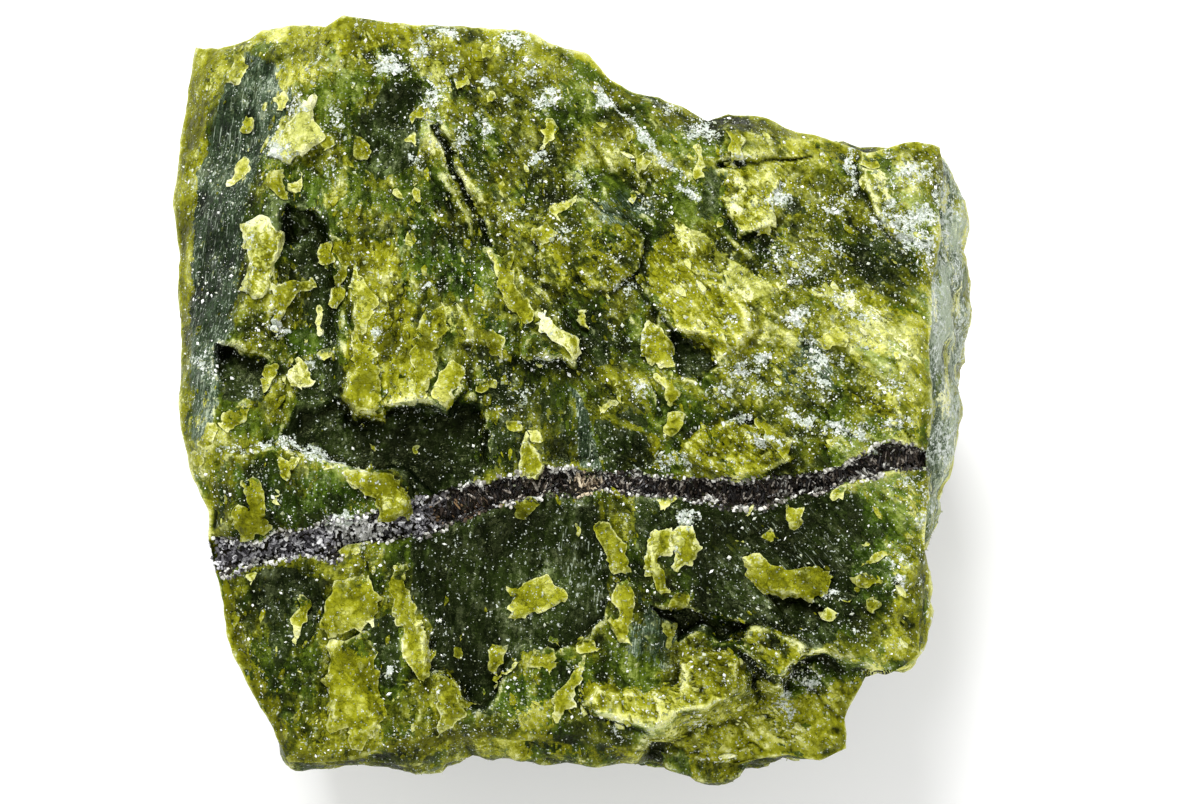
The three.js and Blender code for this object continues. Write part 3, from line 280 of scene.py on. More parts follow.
# Thicker flakes that stand proud of the face: how thick, how pale, and whether they stand off all round.
FLAKES = [
    dict(name="star", thick=0.8, whole=1, outline=[
        (-5.9, -16.1), (-4.3, -15.8), (-2.3, -15.3), (-1.9, -16.3), (-1.1, -18.2), (-1.9, -18.6),
        (-3.4, -18.7), (-4, -19.6), (-5.3, -19.4), (-5.6, -16.9),
    ]),
    dict(name="pale chip", thick=1.3, pale=0.75, whole=1, outline=[
        (-22.4, 26.4), (-22, 23), (-23.3, 21.6), (-24.8, 20.6), (-27.1, 21), (-25.8, 23.4), (-24, 25.7),
    ]),
    dict(name="bright chip", thick=1.3, pale=0.55, whole=1, outline=[
        (-29, 15.4), (-27.4, 16), (-25.4, 14.4), (-26.2, 11.2), (-26.8, 9.8), (-28.2, 9.2), (-29.3, 10),
        (-28.3, 13.2),
    ]),
    dict(name="top left chip", thick=0.8, pale=0.3, outline=[
        (-29.8, 31.2), (-28.9, 31.2), (-28.9, 29.6), (-29.8, 27.8), (-30.6, 27.6), (-30.2, 29.6),
    ]),
    dict(name="arch", thick=0.8, pale=0.4, whole=1, outline=[
        (-26.3, 10.2), (-23.2, 10.5), (-23, 9.6), (-24.5, 9), (-25.3, 7), (-25.9, 5.2), (-26.7, 6.4),
        (-26.7, 8.4),
    ]),
    dict(name="tuft flake", thick=0.9, pale=0.3, whole=1, outline=[
        (-24.9, 2.4), (-24.2, 3.5), (-23.1, 2.6), (-22.9, 1.4), (-23.9, 0.2), (-24.8, 0.9),
    ]),
    dict(name="outer fold", thick=0.7, outline=[
        (-20.2, 12), (-18, 9), (-18.4, 5), (-17.4, 2.4), (-17.4, -0.7), (-19.4, -1.7), (-20.6, -0.6),
        (-19.7, 3), (-19.7, 7),
    ]),
    dict(name="inner fold", thick=0.7, outline=[
        (-14.4, 0.3), (-13.3, 0.1), (-13, 2), (-11.4, 6.4), (-11.8, 8.8), (-13.6, 7), (-14.4, 4),
    ]),
    dict(name="hanging flake", thick=0.7, outline=[
        (-11, 3.7), (-12, 2.6), (-12.6, 0.4), (-11.4, -0.7), (-10.8, 1.1), (-9.8, 1.4), (-10, 2.8),
    ]),
    dict(name="middle flake", thick=0.9, pale=0.2, outline=[
        (-7.7, 12.9), (-5.8, 12.9), (-5.3, 10), (-4.4, 9.8), (-3.4, 8), (-4, 6.9), (-5.6, 7.6),
        (-6.9, 9.8),
    ]),
    dict(name="leaf", thick=0.7, pale=0.4, outline=[
        (-2.9, 8.1), (-3.4, 6.5), (-1.4, 4), (-0.5, 2.4), (-0.3, 4.2), (-1.8, 5.9),
    ]),
    dict(name="right leaf", thick=0.8, pale=0.3, outline=[
        (6.2, 6.9), (7.4, 5.8), (8.5, 4.4), (8.7, 3), (6.5, 3.4), (5.9, 4.4),
    ]),
    dict(name="spike", thick=0.8, pale=0.2, whole=1, outline=[
        (-4.3, -3), (-3.6, -4.5), (-3.1, -6.2), (-3.6, -7.2), (-4.8, -7.2), (-5, -6.2),
    ]),
    dict(name="fan", thick=0.9, pale=0.25, whole=1, outline=[
        (-20.6, -7), (-20.2, -6.4), (-18.2, -6.3), (-16.3, -6.8), (-15.2, -7.9), (-14.4, -9.6),
        (-15, -10.6), (-17.6, -10.9), (-18.2, -9), (-19.6, -7.9),
    ]),
    dict(name="left U", thick=0.8, outline=[
        (-29.4, -7), (-28.5, -6.7), (-27.4, -8.4), (-27.1, -11), (-28, -11.9), (-29.5, -12),
        (-30.3, -10.8), (-30.1, -9.6), (-28.8, -9.2),
    ]),
    dict(name="plate one", thick=0.9, outline=[
        (-22, -17.5), (-21.7, -20.8), (-19.5, -20.3), (-17.6, -20), (-17.3, -17.5), (-18.4, -15.3),
        (-21.2, -15.8),
    ]),
    dict(name="plate two", thick=1.2, outline=[
        (-21.4, -21.1), (-18, -20.3), (-17.5, -24.8), (-16.9, -27.3), (-17.4, -28.9), (-19.2, -30.7),
        (-20, -30.2), (-20.4, -28.8), (-21.8, -29.2), (-22, -24.8),
    ]),
    dict(name="ragged column", thick=1.2, outline=[
        (-16, -14.2), (-15, -14.6), (-14.5, -17.8), (-13.2, -19.6), (-13.1, -22), (-12.4, -24.4),
        (-13.4, -25.2), (-15, -23.4), (-15.2, -20.4), (-16.2, -19.2),
    ]),
    dict(name="bright flake", thick=1.1, pale=0.2, outline=[
        (-11.7, -24.1), (-10.6, -24), (-9.9, -25.8), (-9.2, -28), (-10.4, -29.8), (-12, -30.2),
        (-11.5, -28.5), (-12, -26.6),
    ]),
    dict(name="upper strip", thick=0.8, outline=[
        (1.7, -11), (3, -11.1), (4.4, -13.2), (4.7, -15.2), (3, -15.7), (2.5, -13.2),
    ]),
    dict(name="lower strip", thick=0.8, outline=[
        (3.2, -16), (4.4, -15.7), (5.2, -18), (5.1, -21.9), (3.8, -21.5), (2.3, -19.4), (3.7, -19),
    ]),
    dict(name="left wing", thick=0.9, pale=0.3, whole=1, outline=[
        (7, -11), (8.4, -11.1), (8.3, -13.6), (7.5, -14.2), (8.6, -17.2), (7, -16.3), (6, -14.6),
    ]),
    dict(name="right wing", thick=0.9, pale=0.25, whole=1, outline=[
        (8.9, -11.2), (10.3, -10.9), (11.4, -13), (9.4, -15.3), (8.5, -14.6),
    ]),
    dict(name="ledge flake", thick=1.3, whole=1, outline=[
        (15.2, -14.3), (16.3, -13.7), (18.2, -15.4), (21.5, -15.1), (22.7, -16.3), (22.3, -17.9),
        (21.2, -18.4), (17.6, -17.6), (15.8, -16.8),
    ]),
    dict(name="vertical crust", thick=1, outline=[
        (0.8, -22.5), (1.2, -24.6), (0.5, -25.2), (0.9, -26.6), (-0.9, -28.2), (-1.4, -26.4),
    ]),
]

# Small flakes and chips that are too fine for the CAD solid: thickness and outline.
SMALL_FLAKES = [
    (0.45, [(-25.9, 20), (-25, 19.8), (-24.9, 19.2), (-25.2, 17.3), (-25.9, 18), (-26.8, 18.7)]),
    (0.5, [(-26.6, 26.4), (-25.4, 26.7), (-25.2, 25.9), (-25.8, 25.1), (-26.6, 25.1)]),
    (0.35, [(-28.7, 25.6), (-28.2, 25), (-29, 23.6), (-29.3, 23.9)]),
    (0.35, [(-29.2, 21.6), (-28.6, 20.6), (-29.2, 19.6), (-30.1, 18.8), (-29.8, 20.2)]),
    (0.35, [(-28.9, 19.5), (-28.4, 19.6), (-28.3, 19.1), (-29, 18.8)]),
    (0.4, [(-23.6, 19.9), (-23.3, 19), (-23.8, 18.2), (-24.8, 18.2), (-24, 18.8)]),
    (0.45, [(-22.2, 23), (-21.2, 23.6), (-21.2, 22.6), (-22, 21.9)]),
    (0.5, [(-22.4, 13.4), (-21.6, 13.5), (-21.5, 12), (-22.2, 11.3), (-22.8, 11.8)]),
    (0.5, [(-21.2, 14.2), (-20.7, 13.6), (-20.5, 10.6), (-21.1, 8), (-21.7, 8.2), (-21.3, 11)]),
    (0.4, [(-22.9, 8), (-22.3, 7.6), (-22, 5.5), (-22.5, 5.3), (-23, 6.6)]),
    (0.35, [(-23.9, 5.5), (-23.3, 5.3), (-23.4, 4.8), (-23.9, 4.9)]),
    (0.4, [(-22.3, 3.2), (-21.2, 3.9), (-21.1, 3.5), (-21.9, 2.9)]),
    (0.5, [(-25.6, 1.6), (-25.2, 1.8), (-25.1, 0.8), (-25.6, 0.7)]),
    (0.6, [(-26.5, 2.8), (-25.8, 2.9), (-25.7, 2.1), (-26.4, 1.6), (-27.2, 1), (-27.2, 1.6)]),
    (0.5, [(-28.5, -0.4), (-31, -1.3), (-31.5, -2.3), (-30.4, -2.9), (-29.2, -1.8)]),
    (0.6, [(-31.5, -2.3), (-32.4, -2.2), (-33, -4), (-32.3, -4.3), (-31.7, -3.6)]),
    (0.6, [(-33.4, -4.8), (-32.6, -5), (-32.7, -6), (-33.3, -5.9)]),
    (0.4, [(-26.2, -4.9), (-23.8, -5.1), (-25.4, -6.5), (-26, -5.6)]),
    (0.4, [(-22, -5.9), (-21.3, -6.1), (-21, -6.8), (-21.7, -6.8)]),
    (0.35, [(-26.5, -7.2), (-26, -8), (-25.9, -9.1), (-26.6, -8.4)]),
    (0.3, [(-19, -2.2), (-18.4, -2.4), (-18.5, -3), (-18.8, -2.9)]),
    (0.3, [(-18.2, -4.2), (-17.7, -4.6), (-17.6, -5.1), (-18.1, -4.8)]),
    (0.3, [(-13.9, -4.1), (-13.5, -4.1), (-13.6, -4.8), (-13.9, -4.7)]),
    (0.5, [(-13.2, 25.8), (-12.6, 26.1), (-12.6, 25), (-13.9, 24.6), (-14, 25)]),
    (0.55, [(-14.3, 23.3), (-13.6, 23.6), (-13.2, 22.6), (-13.9, 22.1), (-14.6, 22.8)]),
    (0.45, [(-14.4, 19), (-13.9, 18.2), (-14, 17.3), (-14.6, 17.9)]),
    (0.5, [(-19.6, 23.2), (-18.3, 23), (-17.8, 21.6), (-18.2, 20.6), (-19, 21.2)]),
    (0.5, [(-10.8, 28.2), (-9.4, 28.6), (-9.2, 27.8), (-10.3, 27.4)]),
    (0.45, [(-7.9, 31), (-7.2, 30.7), (-7.4, 29.9), (-7.9, 30.2)]),
    (0.4, [(-7.6, 27.2), (-7, 27.4), (-6.6, 26.7), (-7.4, 26.4)]),
    (0.5, [(-7.3, 18.7), (-6.7, 18.8), (-6.6, 18.1), (-7.2, 17.9)]),
    (0.5, [(-2.4, 24.7), (-1.4, 24), (-1.6, 23), (-3.2, 22.3), (-2.6, 23.4)]),
    (0.6, [(0.2, 18.4), (-1.2, 17.5), (-2.2, 17.7), (-2.8, 16.8), (-1.4, 15.9), (-0.8, 17)]),
    (0.6, [(-3.8, 15.2), (-2.6, 15.7), (-1.5, 15), (-2.3, 14.2), (-3.3, 13.4), (-3.9, 14)]),
    (0.5, [(6.2, 22), (6.9, 20.9), (6.4, 20.2), (5.6, 20.2), (5.8, 21.2)]),
    (0.5, [(4.6, 24.2), (5.3, 23.8), (5.2, 22.8), (4.4, 22.4), (4.3, 23.4)]),
    (0.4, [(4.8, 18.4), (5.3, 18), (5.2, 17.6), (4.8, 17.7)]),
    (0.6, [(10.4, 22.7), (11, 22.9), (11.4, 19.6), (10.7, 19.7), (10.5, 21)]),
    (0.8, [(13.3, 23.8), (14.6, 23.7), (15.4, 22.6), (15.2, 21.6), (14, 21), (13.7, 22.2)]),
    (0.5, [(13.2, 21.2), (13.8, 21.2), (13.9, 20.7), (13.3, 20.6)]),
    (0.8, [(12.6, 16.2), (13.3, 16.2), (13.4, 15.7), (12.7, 15.6)]),
    (0.7, [(16.6, 15.7), (17.4, 15.9), (17.2, 14.6), (16, 14.3)]),
    (0.5, [(25, 21.9), (25.8, 21.6), (26.3, 20.4), (25.7, 20.3), (25.2, 21)]),
    (0.7, [(21.2, 4.7), (22.4, 5.6), (24, 5.9), (25, 5), (24.2, 4), (22.2, 3.8)]),
    (0.5, [(21.8, -3.5), (22.6, -3.6), (22.7, -4.1), (22, -4.3)]),
    (0.8, [(16.2, -2.2), (16.7, -1.6), (17.3, -2.5), (18.3, -3.6), (18.9, -5), (18.2, -5.2), (17.3, -3.9)]),
    (0.5, [(-8.5, 5.9), (-8, 6.5), (-7.4, 6.3), (-6.4, 4.9), (-6.7, 3.6), (-7.5, 3.8), (-8.2, 4.9)]),
    (0.5, [(0.5, 7.6), (1.2, 7.8), (1.4, 6.8), (0.9, 5.6), (0.3, 6.2)]),
    (0.4, [(-9, 2), (-8.3, 1.9), (-8.2, 1), (-8.9, 1.1)]),
    (0.4, [(-8.1, 1.9), (-7.4, 1.7), (-7.6, 1.2), (-8.1, 1.2)]),
    (0.5, [(-8.6, 3), (-7.6, 2.9), (-7.9, 2.4)]),
    (0.6, [(7.2, 2.1), (8.4, 2.7), (9, 1.9), (9.8, 1.2), (9.1, 0.2), (8.2, -0.4), (7.5, 0.3)]),
    (0.7, [(8, -1), (9.4, -1), (9.7, -1.9), (9, -2.6), (8, -3.2), (7.8, -2)]),
    (0.5, [(3.3, 1.9), (3.9, 1.9), (3.9, 1.3), (3.3, 1.3)]),
    (0.5, [(3.6, 0.9), (4.2, 0.3), (4.4, -0.2), (3.9, 0)]),
    (0.4, [(1.3, -0.4), (2.8, -0.1), (3.6, 0), (2.4, -1), (1.7, -1.3)]),
    (0.4, [(-6, -1.9), (-5.2, -2.3), (-5, -2.8), (-5.8, -2.7)]),
    (0.4, [(-4, -3.1), (-3.2, -3.4), (-2.9, -3.8), (-3.5, -3.8)]),
    (0.5, [(-5.4, -9.6), (-4.2, -9.2), (-3.5, -9.6), (-4.6, -10.8), (-5, -10.4)]),
    (0.5, [(14.5, -9.2), (15.4, -9.1), (15.2, -9.9), (14.8, -10)]),
    (0.6, [(18, -8.9), (19.6, -9.2), (19.7, -10.2), (19, -10.7), (18.4, -9.9)]),
    (0.5, [(22.3, -8.6), (23.5, -7.6), (23.3, -8.5), (22.6, -8.8)]),
    (0.4, [(6.9, -8.8), (8.5, -8.8), (7.8, -9.7)]),
    (0.6, [(16.3, -12.1), (17, -11.2), (18, -12), (17.3, -12.6)]),
    (0.4, [(14.4, -12.4), (15.1, -12.1), (15, -12.6), (14.6, -12.7)]),
    (0.6, [(25.8, -18), (26.4, -17.2), (27.3, -18.2), (26.3, -18.7)]),
    (0.6, [(21.9, -19.4), (22.6, -18.8), (23.4, -19), (22.8, -19.6)]),
    (0.4, [(23.3, -18.1), (24.3, -17.7), (24, -18.1)]),
    (0.5, [(25.2, -12.9), (26.2, -12.6), (25.9, -13.1)]),
    (0.6, [(24.4, -16.2), (26.6, -16), (27, -16.6), (25, -16.8)]),
    (0.6, [(27.2, -13.8), (28.2, -13.1), (28, -13.9), (25.4, -15)]),
    (0.6, [(8.2, -18.7), (9.4, -19), (9.9, -18), (9.8, -17.3), (8.9, -17.9)]),
    (0.4, [(0.2, -11), (0.6, -12.4), (0.2, -12), (0, -11.2)]),
    (0.5, [(7.9, -20.2), (9.2, -20.2), (9.1, -21.4), (8.6, -22), (8, -21)]),
    (0.4, [(0, -21.1), (1.4, -21), (2.3, -22), (0.9, -21.8), (0.5, -22.2)]),
    (0.5, [(-7.2, -21.5), (-5.6, -21.5), (-6.1, -23.4), (-6.3, -24), (-7.2, -22.2)]),
    (0.5, [(-6.4, -24.3), (-4.8, -23.4), (-4.1, -22.9), (-4.9, -22.6), (-5, -23.6), (-6.4, -25.5)]),
    (0.4, [(-2.1, -21.2), (-1.5, -21.3), (-1.4, -21.8)]),
    (0.6, [
        (-3.4, -21.7), (-1.9, -21.9), (-1.7, -23), (-1.1, -23.1), (-1.6, -24.4), (-2.5, -23.6),
        (-3.6, -23.4),
    ]),
    (0.4, [(-10, -21.6), (-9.5, -21.4), (-9.5, -22.6), (-9.9, -22.6)]),
    (0.4, [(-9.7, -20.2), (-9.2, -20.6), (-9.3, -21.1)]),
    (0.4, [(-7.7, -25.4), (-7.3, -25.7), (-7.4, -26.1)]),
    (0.6, [(-9.6, -26.2), (-8.4, -26.4), (-7.9, -26.8), (-8.6, -27.3), (-9.4, -27.2)]),
    (0.5, [(-13.2, -22.5), (-12.1, -22.4), (-12.5, -23.5), (-12.8, -24.5)]),
    (0.5, [(-29, -15.2), (-28.2, -15.1), (-28.3, -16.3), (-28.7, -15.9)]),
    (0.4, [(-24.6, -23.8), (-24.1, -24.4), (-24.3, -24.7)]),
    (0.5, [(-24.8, -19.2), (-24.2, -17.2), (-23.5, -17.6), (-24, -19.8), (-24.4, -21.6)]),
    (0.5, [(-19.6, -12.9), (-18.6, -13), (-19.3, -13.7), (-21, -13.4)]),
]

# ---------------------------------------------------------------- sides of the stone

# Going clockwise round the rim from its upper left corner: a point near the rim, and how far the side stands
# out from it there, at each of these shares of the way down to the sole.
SIDE_DEPTHS = [0, 0.12, 0.3, 0.55, 0.8, 1]
SIDES = [
    ((-33, 30.8), [0, 0.3, -0.8, -3, -6, -9]),
    ((-20.2, 34.1), [0, 0.8, 1.4, 0.8, -2, -4.5]),
    ((-4.8, 32.3), [0, 0.8, 1, 0.5, -1.5, -4]),
    ((11.9, 24.7), [0, 0.8, 1.8, 2.2, 1, -2]),
    ((32.1, 22), [0, 1, 2.7, 1.6, -1.6, -5]),
    ((31.7, 15), [0, 1.5, 3.2, 3.5, 2, 0]),
    ((31.2, 0), [0, 1.4, 3.8, 4.9, 2.8, 0]),
    ((30.8, -12), [0, 0.2, 0.3, 0, -1, -3.5]),
    ((30.5, -22.9), [0, 0.3, -1, -3, -6, -9]),
    ((24, -27.7), [0, 0.3, 0.5, -1.5, -5, -9]),
    ((13.6, -31.9), [0, 0, -1.2, -5, -9, -13]),
    ((-1.3, -29.9), [0, 0.9, 0.4, -3.5, -9, -13]),
    ((-17.2, -31.3), [0, 1.3, 0, -3.5, -8, -12]),
    ((-25.3, -32.4), [0, -0.3, -1.6, -4, -7, -10]),
    ((-31.2, -16.7), [0, 0.1, -0.3, -1.8, -4, -7]),
    ((-35.1, 8.8), [0, 0.9, 1.3, 0.5, -2, -5]),
]

# ---------------------------------------------------------------- kinds of stone

# Outlines that two of the next tables share.
DARK_SCOOP = [
    (-25.5, -3), (-24.5, -0.6), (-20.9, -0.6), (-19.4, -2), (-16, -0.6), (-12, 0), (-8.5, 0.2),
    (-8.4, -3), (-8, -7), (-12, -9.5), (-16, -6.8), (-20.5, -6.3), (-24, -4.6),
]
TRIANGULAR_HOLLOW = [(-31, 5), (-29.4, 4.7), (-26.7, 3.2), (-26.6, 1.6), (-27.6, 0.2), (-30, -0.2), (-31, 0)]

# Where the stone shows its different faces: how strongly, how softly the zone fades, and its outline.
ZONES = {
    "dark": [  # smooth dark green-black stone, where layers have split off
        (0.9, 0.5, DARK_SCOOP),
        (0.45, 0.5, [
            (-8.5, -3), (-6.2, -0.7), (-2.5, 2.1), (-0.2, -1.3), (0.3, -6.1), (-4, -6.3), (-7.4, -7.5),
        ]),
        (0.75, 0.3, [(2.8, -1.6), (6.2, -3), (6.4, -6.1), (3.3, -6.1), (1.2, -2)]),
        (0.6, 0.3, [(4.4, 1.2), (6, 0), (6.2, -2.4), (3.4, -1.4)]),
        (0.85, 0.8, [
            (-25, 13.5), (-22.8, 13), (-21.4, 8), (-20.2, 2), (-20.6, -1), (-24.6, -0.8), (-23, 4),
        ]),
        (0.95, 0.5, [
            (-13.8, -12.2), (-9, -10), (-4, -8.6), (1.5, -8), (2.2, -12), (3.2, -16), (2.2, -19.5),
            (0.4, -21.8), (-4, -22), (-6, -24.4), (-6.6, -28), (-8.4, -28), (-9.6, -25), (-12.5, -24),
            (-13, -20), (-14.5, -17.5),
        ]),
        (0.8, 0.7, [
            (4.8, -7.6), (12, -8.6), (20, -8), (25.6, -8.2), (28, -11.6), (27.4, -15), (25.2, -19.2),
            (22.4, -22.4), (20.6, -22.4), (18.6, -20.4), (14, -19.6), (10.4, -18.4), (10, -15.6),
            (5.6, -14.4),
        ]),
        (0.9, 0.4, TRIANGULAR_HOLLOW),
        (0.8, 0.6, [
            (-29, -14.6), (-28.4, -18), (-27, -20), (-26.6, -24.4), (-24.8, -23), (-22.3, -20),
            (-22.3, -15),
        ]),
        (0.8, 0.6, [
            (-16.2, 28), (-13.6, 28), (-12.9, 24.6), (-14, 20.8), (-17.6, 18.6), (-19, 22), (-18.6, 25),
        ]),
        (0.7, 0.7, [(11.4, 20.4), (13.6, 20.2), (13.2, 17), (12, 15.6), (10.6, 17)]),
        (0.65, 0.6, [(18.4, 18.6), (19.6, 18), (20.6, 16.4), (18.2, 15.6), (17.6, 17)]),
        (0.5, 1.4, [(23, 13.8), (27.4, 14), (30.2, 12.2), (30.9, 9), (29.2, 8), (26.6, 8.4), (24.6, 10.4)]),
        (0.9, 0.5, [(8.3, 5.9), (11.8, 5), (12.3, 3.4), (11, 2.4), (8.8, 2.8)]),
        (0.7, 0.6, [(0.3, 5), (1, 8.5), (3.4, 6.6), (3, 3), (1.2, 2.8)]),
        (0.6, 0.8, [(-8, 3.2), (-5, 4.4), (-4, 2.4), (-5.2, -1), (-8.2, -0.4)]),
        (0.9, 0.4, [(6.6, -18.9), (13, -19.2), (15.4, -20.2), (14.4, -21.6), (10.6, -20.5), (9.4, -21.2)]),
        (0.9, 0.4, [(-18, -19), (-15.4, -19.4), (-15.2, -25), (-17.2, -25)]),
        (0.5, 0.8, [(-26.5, -6), (-21, -7), (-18, -9), (-20, -10.6), (-25, -10.8)]),
        (0.85, 0.5, [
            (-27.2, 13), (-27, 17.2), (-25.4, 18.6), (-22.6, 17.8), (-21.4, 15.4), (-22.2, 13),
            (-24.4, 12.2),
        ]),
    ],
    "slate": [  # striated grey-green stone
        (0.8, 0.3, [(-1.5, 1.8), (0.3, -0.7), (2.8, -6), (0.5, -6.3), (-0.1, -1.8)]),
        (0.9, 0.8, [
            (-33.6, 20), (-32.6, 22), (-31, 25.6), (-30.2, 29.6), (-28.4, 30.4), (-25.8, 29), (-24.2, 27),
            (-26, 24), (-27.6, 20), (-29, 16), (-29.6, 9), (-30.6, 5), (-31.2, -0.6), (-31.8, -3),
            (-33.2, -4), (-34, 4), (-34.3, 12),
        ]),
        (0.55, 1, [(1.2, 17.8), (4, 19), (8, 17.5), (8, 15.8), (4, 15), (1.4, 15.8)]),
        (0.5, 1, [(-27.8, -6), (-24.6, -6.4), (-24.8, -10.6), (-27, -11), (-28.6, -8)]),
        (0.6, 0.8, [(5.4, -14.6), (6.8, -17.8), (9.4, -20), (8.8, -24), (5, -22.4), (5.2, -18)]),
        (0.6, 0.8, [(0, -10.2), (2, -10.8), (3, -16), (2.4, -19), (-1.2, -16), (-1.6, -12)]),
        (0.6, 1, [(19.6, 5.4), (22, 5), (22.6, 1.4), (20, 0), (17, 0.6), (18.2, 3)]),
        (0.5, 1.2, [(11.6, -9.6), (20, -9.4), (25, -10), (26, -14), (22, -17), (14, -17)]),
    ],
    "green": [  # saturated green
        (0.9, 0.5, [(-25.6, 5.6), (-24.8, 3), (-22.6, 3.6), (-21.4, 5.2), (-23, 6.6), (-24.8, 6.4)]),
        (0.7, 0.9, [(-16, 15.4), (-12.6, 15.8), (-12, 11.4), (-14, 10), (-15.8, 12)]),
        (0.7, 0.9, [(-12.4, 14.6), (-8.6, 13), (-8, 9), (-11, 8.6)]),
        (0.6, 0.9, [(-9, 8), (-4, 7.4), (-1, 4), (-2, 2.6), (-8.2, 4)]),
        (0.6, 0.8, [(-2, 8.6), (0.4, 8), (1.4, 5.4), (-1, 3)]),
        (0.65, 0.8, [(-5.6, -24.6), (-2, -22.4), (-1.4, -25.8), (-2.2, -28), (-6.6, -27.6)]),
        (0.5, 0.9, [(24.6, -7.2), (29.6, -6.8), (30, -11), (27.4, -11.4), (24.6, -9)]),
        (0.5, 0.9, [(-26, 19), (-22, 18.8), (-21.4, 16.2), (-24, 16)]),
        (0.5, 0.8, [(-11.8, -25.6), (-10.6, -26), (-10.6, -28), (-12, -28)]),
        (0.45, 0.8, [(-27.8, -29.5), (-22, -27), (-17, -31), (-24, -31.5)]),
        (0.5, 1, [
            (-31.6, -5.6), (-26, -4.6), (-20.4, -6.8), (-16.4, -9.4), (-17, -11), (-24, -12.2),
            (-31.6, -12.8),
        ]),
        (0.6, 1.2, [(25, -9), (31, -8), (31, -17), (24, -19), (24, -14)]),
    ],
    "yellow": [  # yellow-green crust
        (0.4, 0.4, [(5, -0.2), (7.4, 1.2), (7.8, -6.1), (6.7, -6.1), (6.2, -1.2)]),
        (0.9, 0.6, [
            (-20.9, 13.5), (-19, 14.4), (-15.6, 13), (-14.8, 8), (-13.6, 4), (-13.4, 0.2), (-16.9, -0.4),
            (-17, -2), (-19.4, -1.9), (-20.9, -0.5), (-19.8, 3), (-19.8, 9),
        ]),
        (0.85, 0.8, [
            (5.6, 9.8), (7.6, 14.4), (10.8, 14.8), (14.4, 10), (16.2, 6.4), (14.2, 3.2), (8.8, 6.2),
        ]),
        (0.5, 1.2, [(-3, 15), (4, 16), (7, 13), (5, 8), (0, 9), (-3, 11)]),
        (0.85, 0.8, [
            (14, 20.2), (19.6, 20.8), (20.4, 19), (17.6, 19), (17, 15.4), (15.2, 14.8), (13.6, 16.4),
        ]),
        (0.9, 0.7, [
            (-33, 30.2), (-30, 31), (-27, 32.4), (-20, 33.8), (-13, 33), (-13, 30.4), (-17, 30.6),
            (-19, 29.4), (-20.6, 31), (-24, 31.2), (-28.4, 31), (-32, 29.2),
        ]),
        (0.9, 0.5, [(-25.4, 30), (-23, 30.2), (-22.4, 27.4), (-25.2, 26.8), (-26, 28)]),
        (0.7, 0.8, [(-12.8, 32.6), (-9, 32), (-5.8, 30.6), (-9, 27.2), (-12.6, 28.8)]),
        (0.8, 0.6, [
            (1.3, -24.4), (4.6, -25.4), (9.2, -24.8), (9.6, -22.4), (13, -21.8), (14.8, -23.2),
            (14.8, -25), (13.4, -26.6), (10.2, -27), (8, -28.6), (4, -27.6), (1.4, -26.4),
        ]),
        (0.85, 0.8, [
            (8.4, -29), (10.4, -27.6), (14, -26.8), (19, -26), (24, -24.6), (25.4, -25.4), (23.8, -30.4),
            (18.6, -31), (13.6, -33), (9, -31),
        ]),
        (0.75, 0.6, [
            (9.3, -3.6), (10.4, -2.6), (12.3, -1.4), (14.6, -2.2), (17.4, -2.4), (18.8, -4.8), (17, -6),
            (13, -7.2), (9.2, -4.8),
        ]),
        (0.5, 1, [(14, 23.6), (20, 23.8), (24, 22.8), (23.6, 20.6), (20, 21.4), (15, 22)]),
        (0.45, 1, [(22, 10.6), (27, 9.4), (31, 8), (31, 1), (24, 1.2), (26, 5), (22.6, 8)]),
        (0.4, 1.2, [(22.6, 1), (31, 0.8), (30.8, -4.6), (26.4, -4.6), (24, -1)]),
        (0.5, 0.8, [(29, -12), (31, -12), (31, -23.6), (26.4, -24), (27.6, -21)]),
        (0.6, 0.8, [(12.8, -20.8), (18, -20.6), (20.6, -21.8), (18.2, -24.8), (15.8, -23.4)]),
        (0.6, 0.8, [
            (-22.4, -27), (-16.8, -29.8), (-12.6, -30.4), (-12.6, -32), (-24.8, -32.2), (-24, -28.4),
        ]),
        (0.7, 0.6, [(-11.9, -24.2), (-10, -24.2), (-9.2, -28), (-10.4, -30), (-12.2, -30.4)]),
        (0.5, 0.7, [(-5, -26.8), (-1.4, -26), (0.8, -29), (-4.8, -30)]),
        (0.7, 1.4, [
            (-34.4, -14.6), (-31.2, -15), (-27.8, -22.8), (-23.6, -30.2), (-25.6, -32), (-30.2, -24),
        ]),
        (0.8, 0.5, [(-36, 6), (-33.6, 7), (-33.2, 18), (-31.8, 25), (-30.2, 30.6), (-34, 31.5), (-36, 20)]),
    ],
    "pale": [  # pale, streaky or frosted crust
        (0.85, 0.6, [
            (8.6, 16), (11, 15.6), (13, 13.2), (15.4, 11.6), (18.4, 9.8), (15, 9.6), (12.6, 10.6),
            (11.6, 13), (9.6, 13.6),
        ]),
        (0.6, 0.6, [(18, 10), (25, 9.2), (29.6, 5.2), (30.6, 2.8), (28.6, 3), (25.6, 6.6), (21, 8.4)]),
        (0.8, 0.4, [
            (-25.6, 24.6), (-23.2, 26.4), (-22.4, 26.2), (-22.6, 25.2), (-25.6, 21.4), (-27, 21.2),
        ]),
        (0.8, 0.4, [(-29, 15.2), (-27.8, 15.9), (-26.4, 15.2), (-27, 13.4), (-28.6, 14)]),
        (0.6, 0.5, [(14.4, 20), (16.4, 19.8), (16.8, 17), (15.6, 15.8), (14, 16.6)]),
        (0.5, 0.5, [(-14.4, 0.4), (-13.2, 0.4), (-12.2, 4), (-10.8, 7), (-11.4, 9), (-13.2, 7)]),
        (0.5, 0.4, [(-19.2, 31.8), (-17.8, 32.6), (-17.6, 30), (-19, 28.4)]),
        (0.6, 0.4, [(-14.8, 31), (-12.6, 31.4), (-10.8, 28.4), (-12.4, 27), (-13.6, 28.6)]),
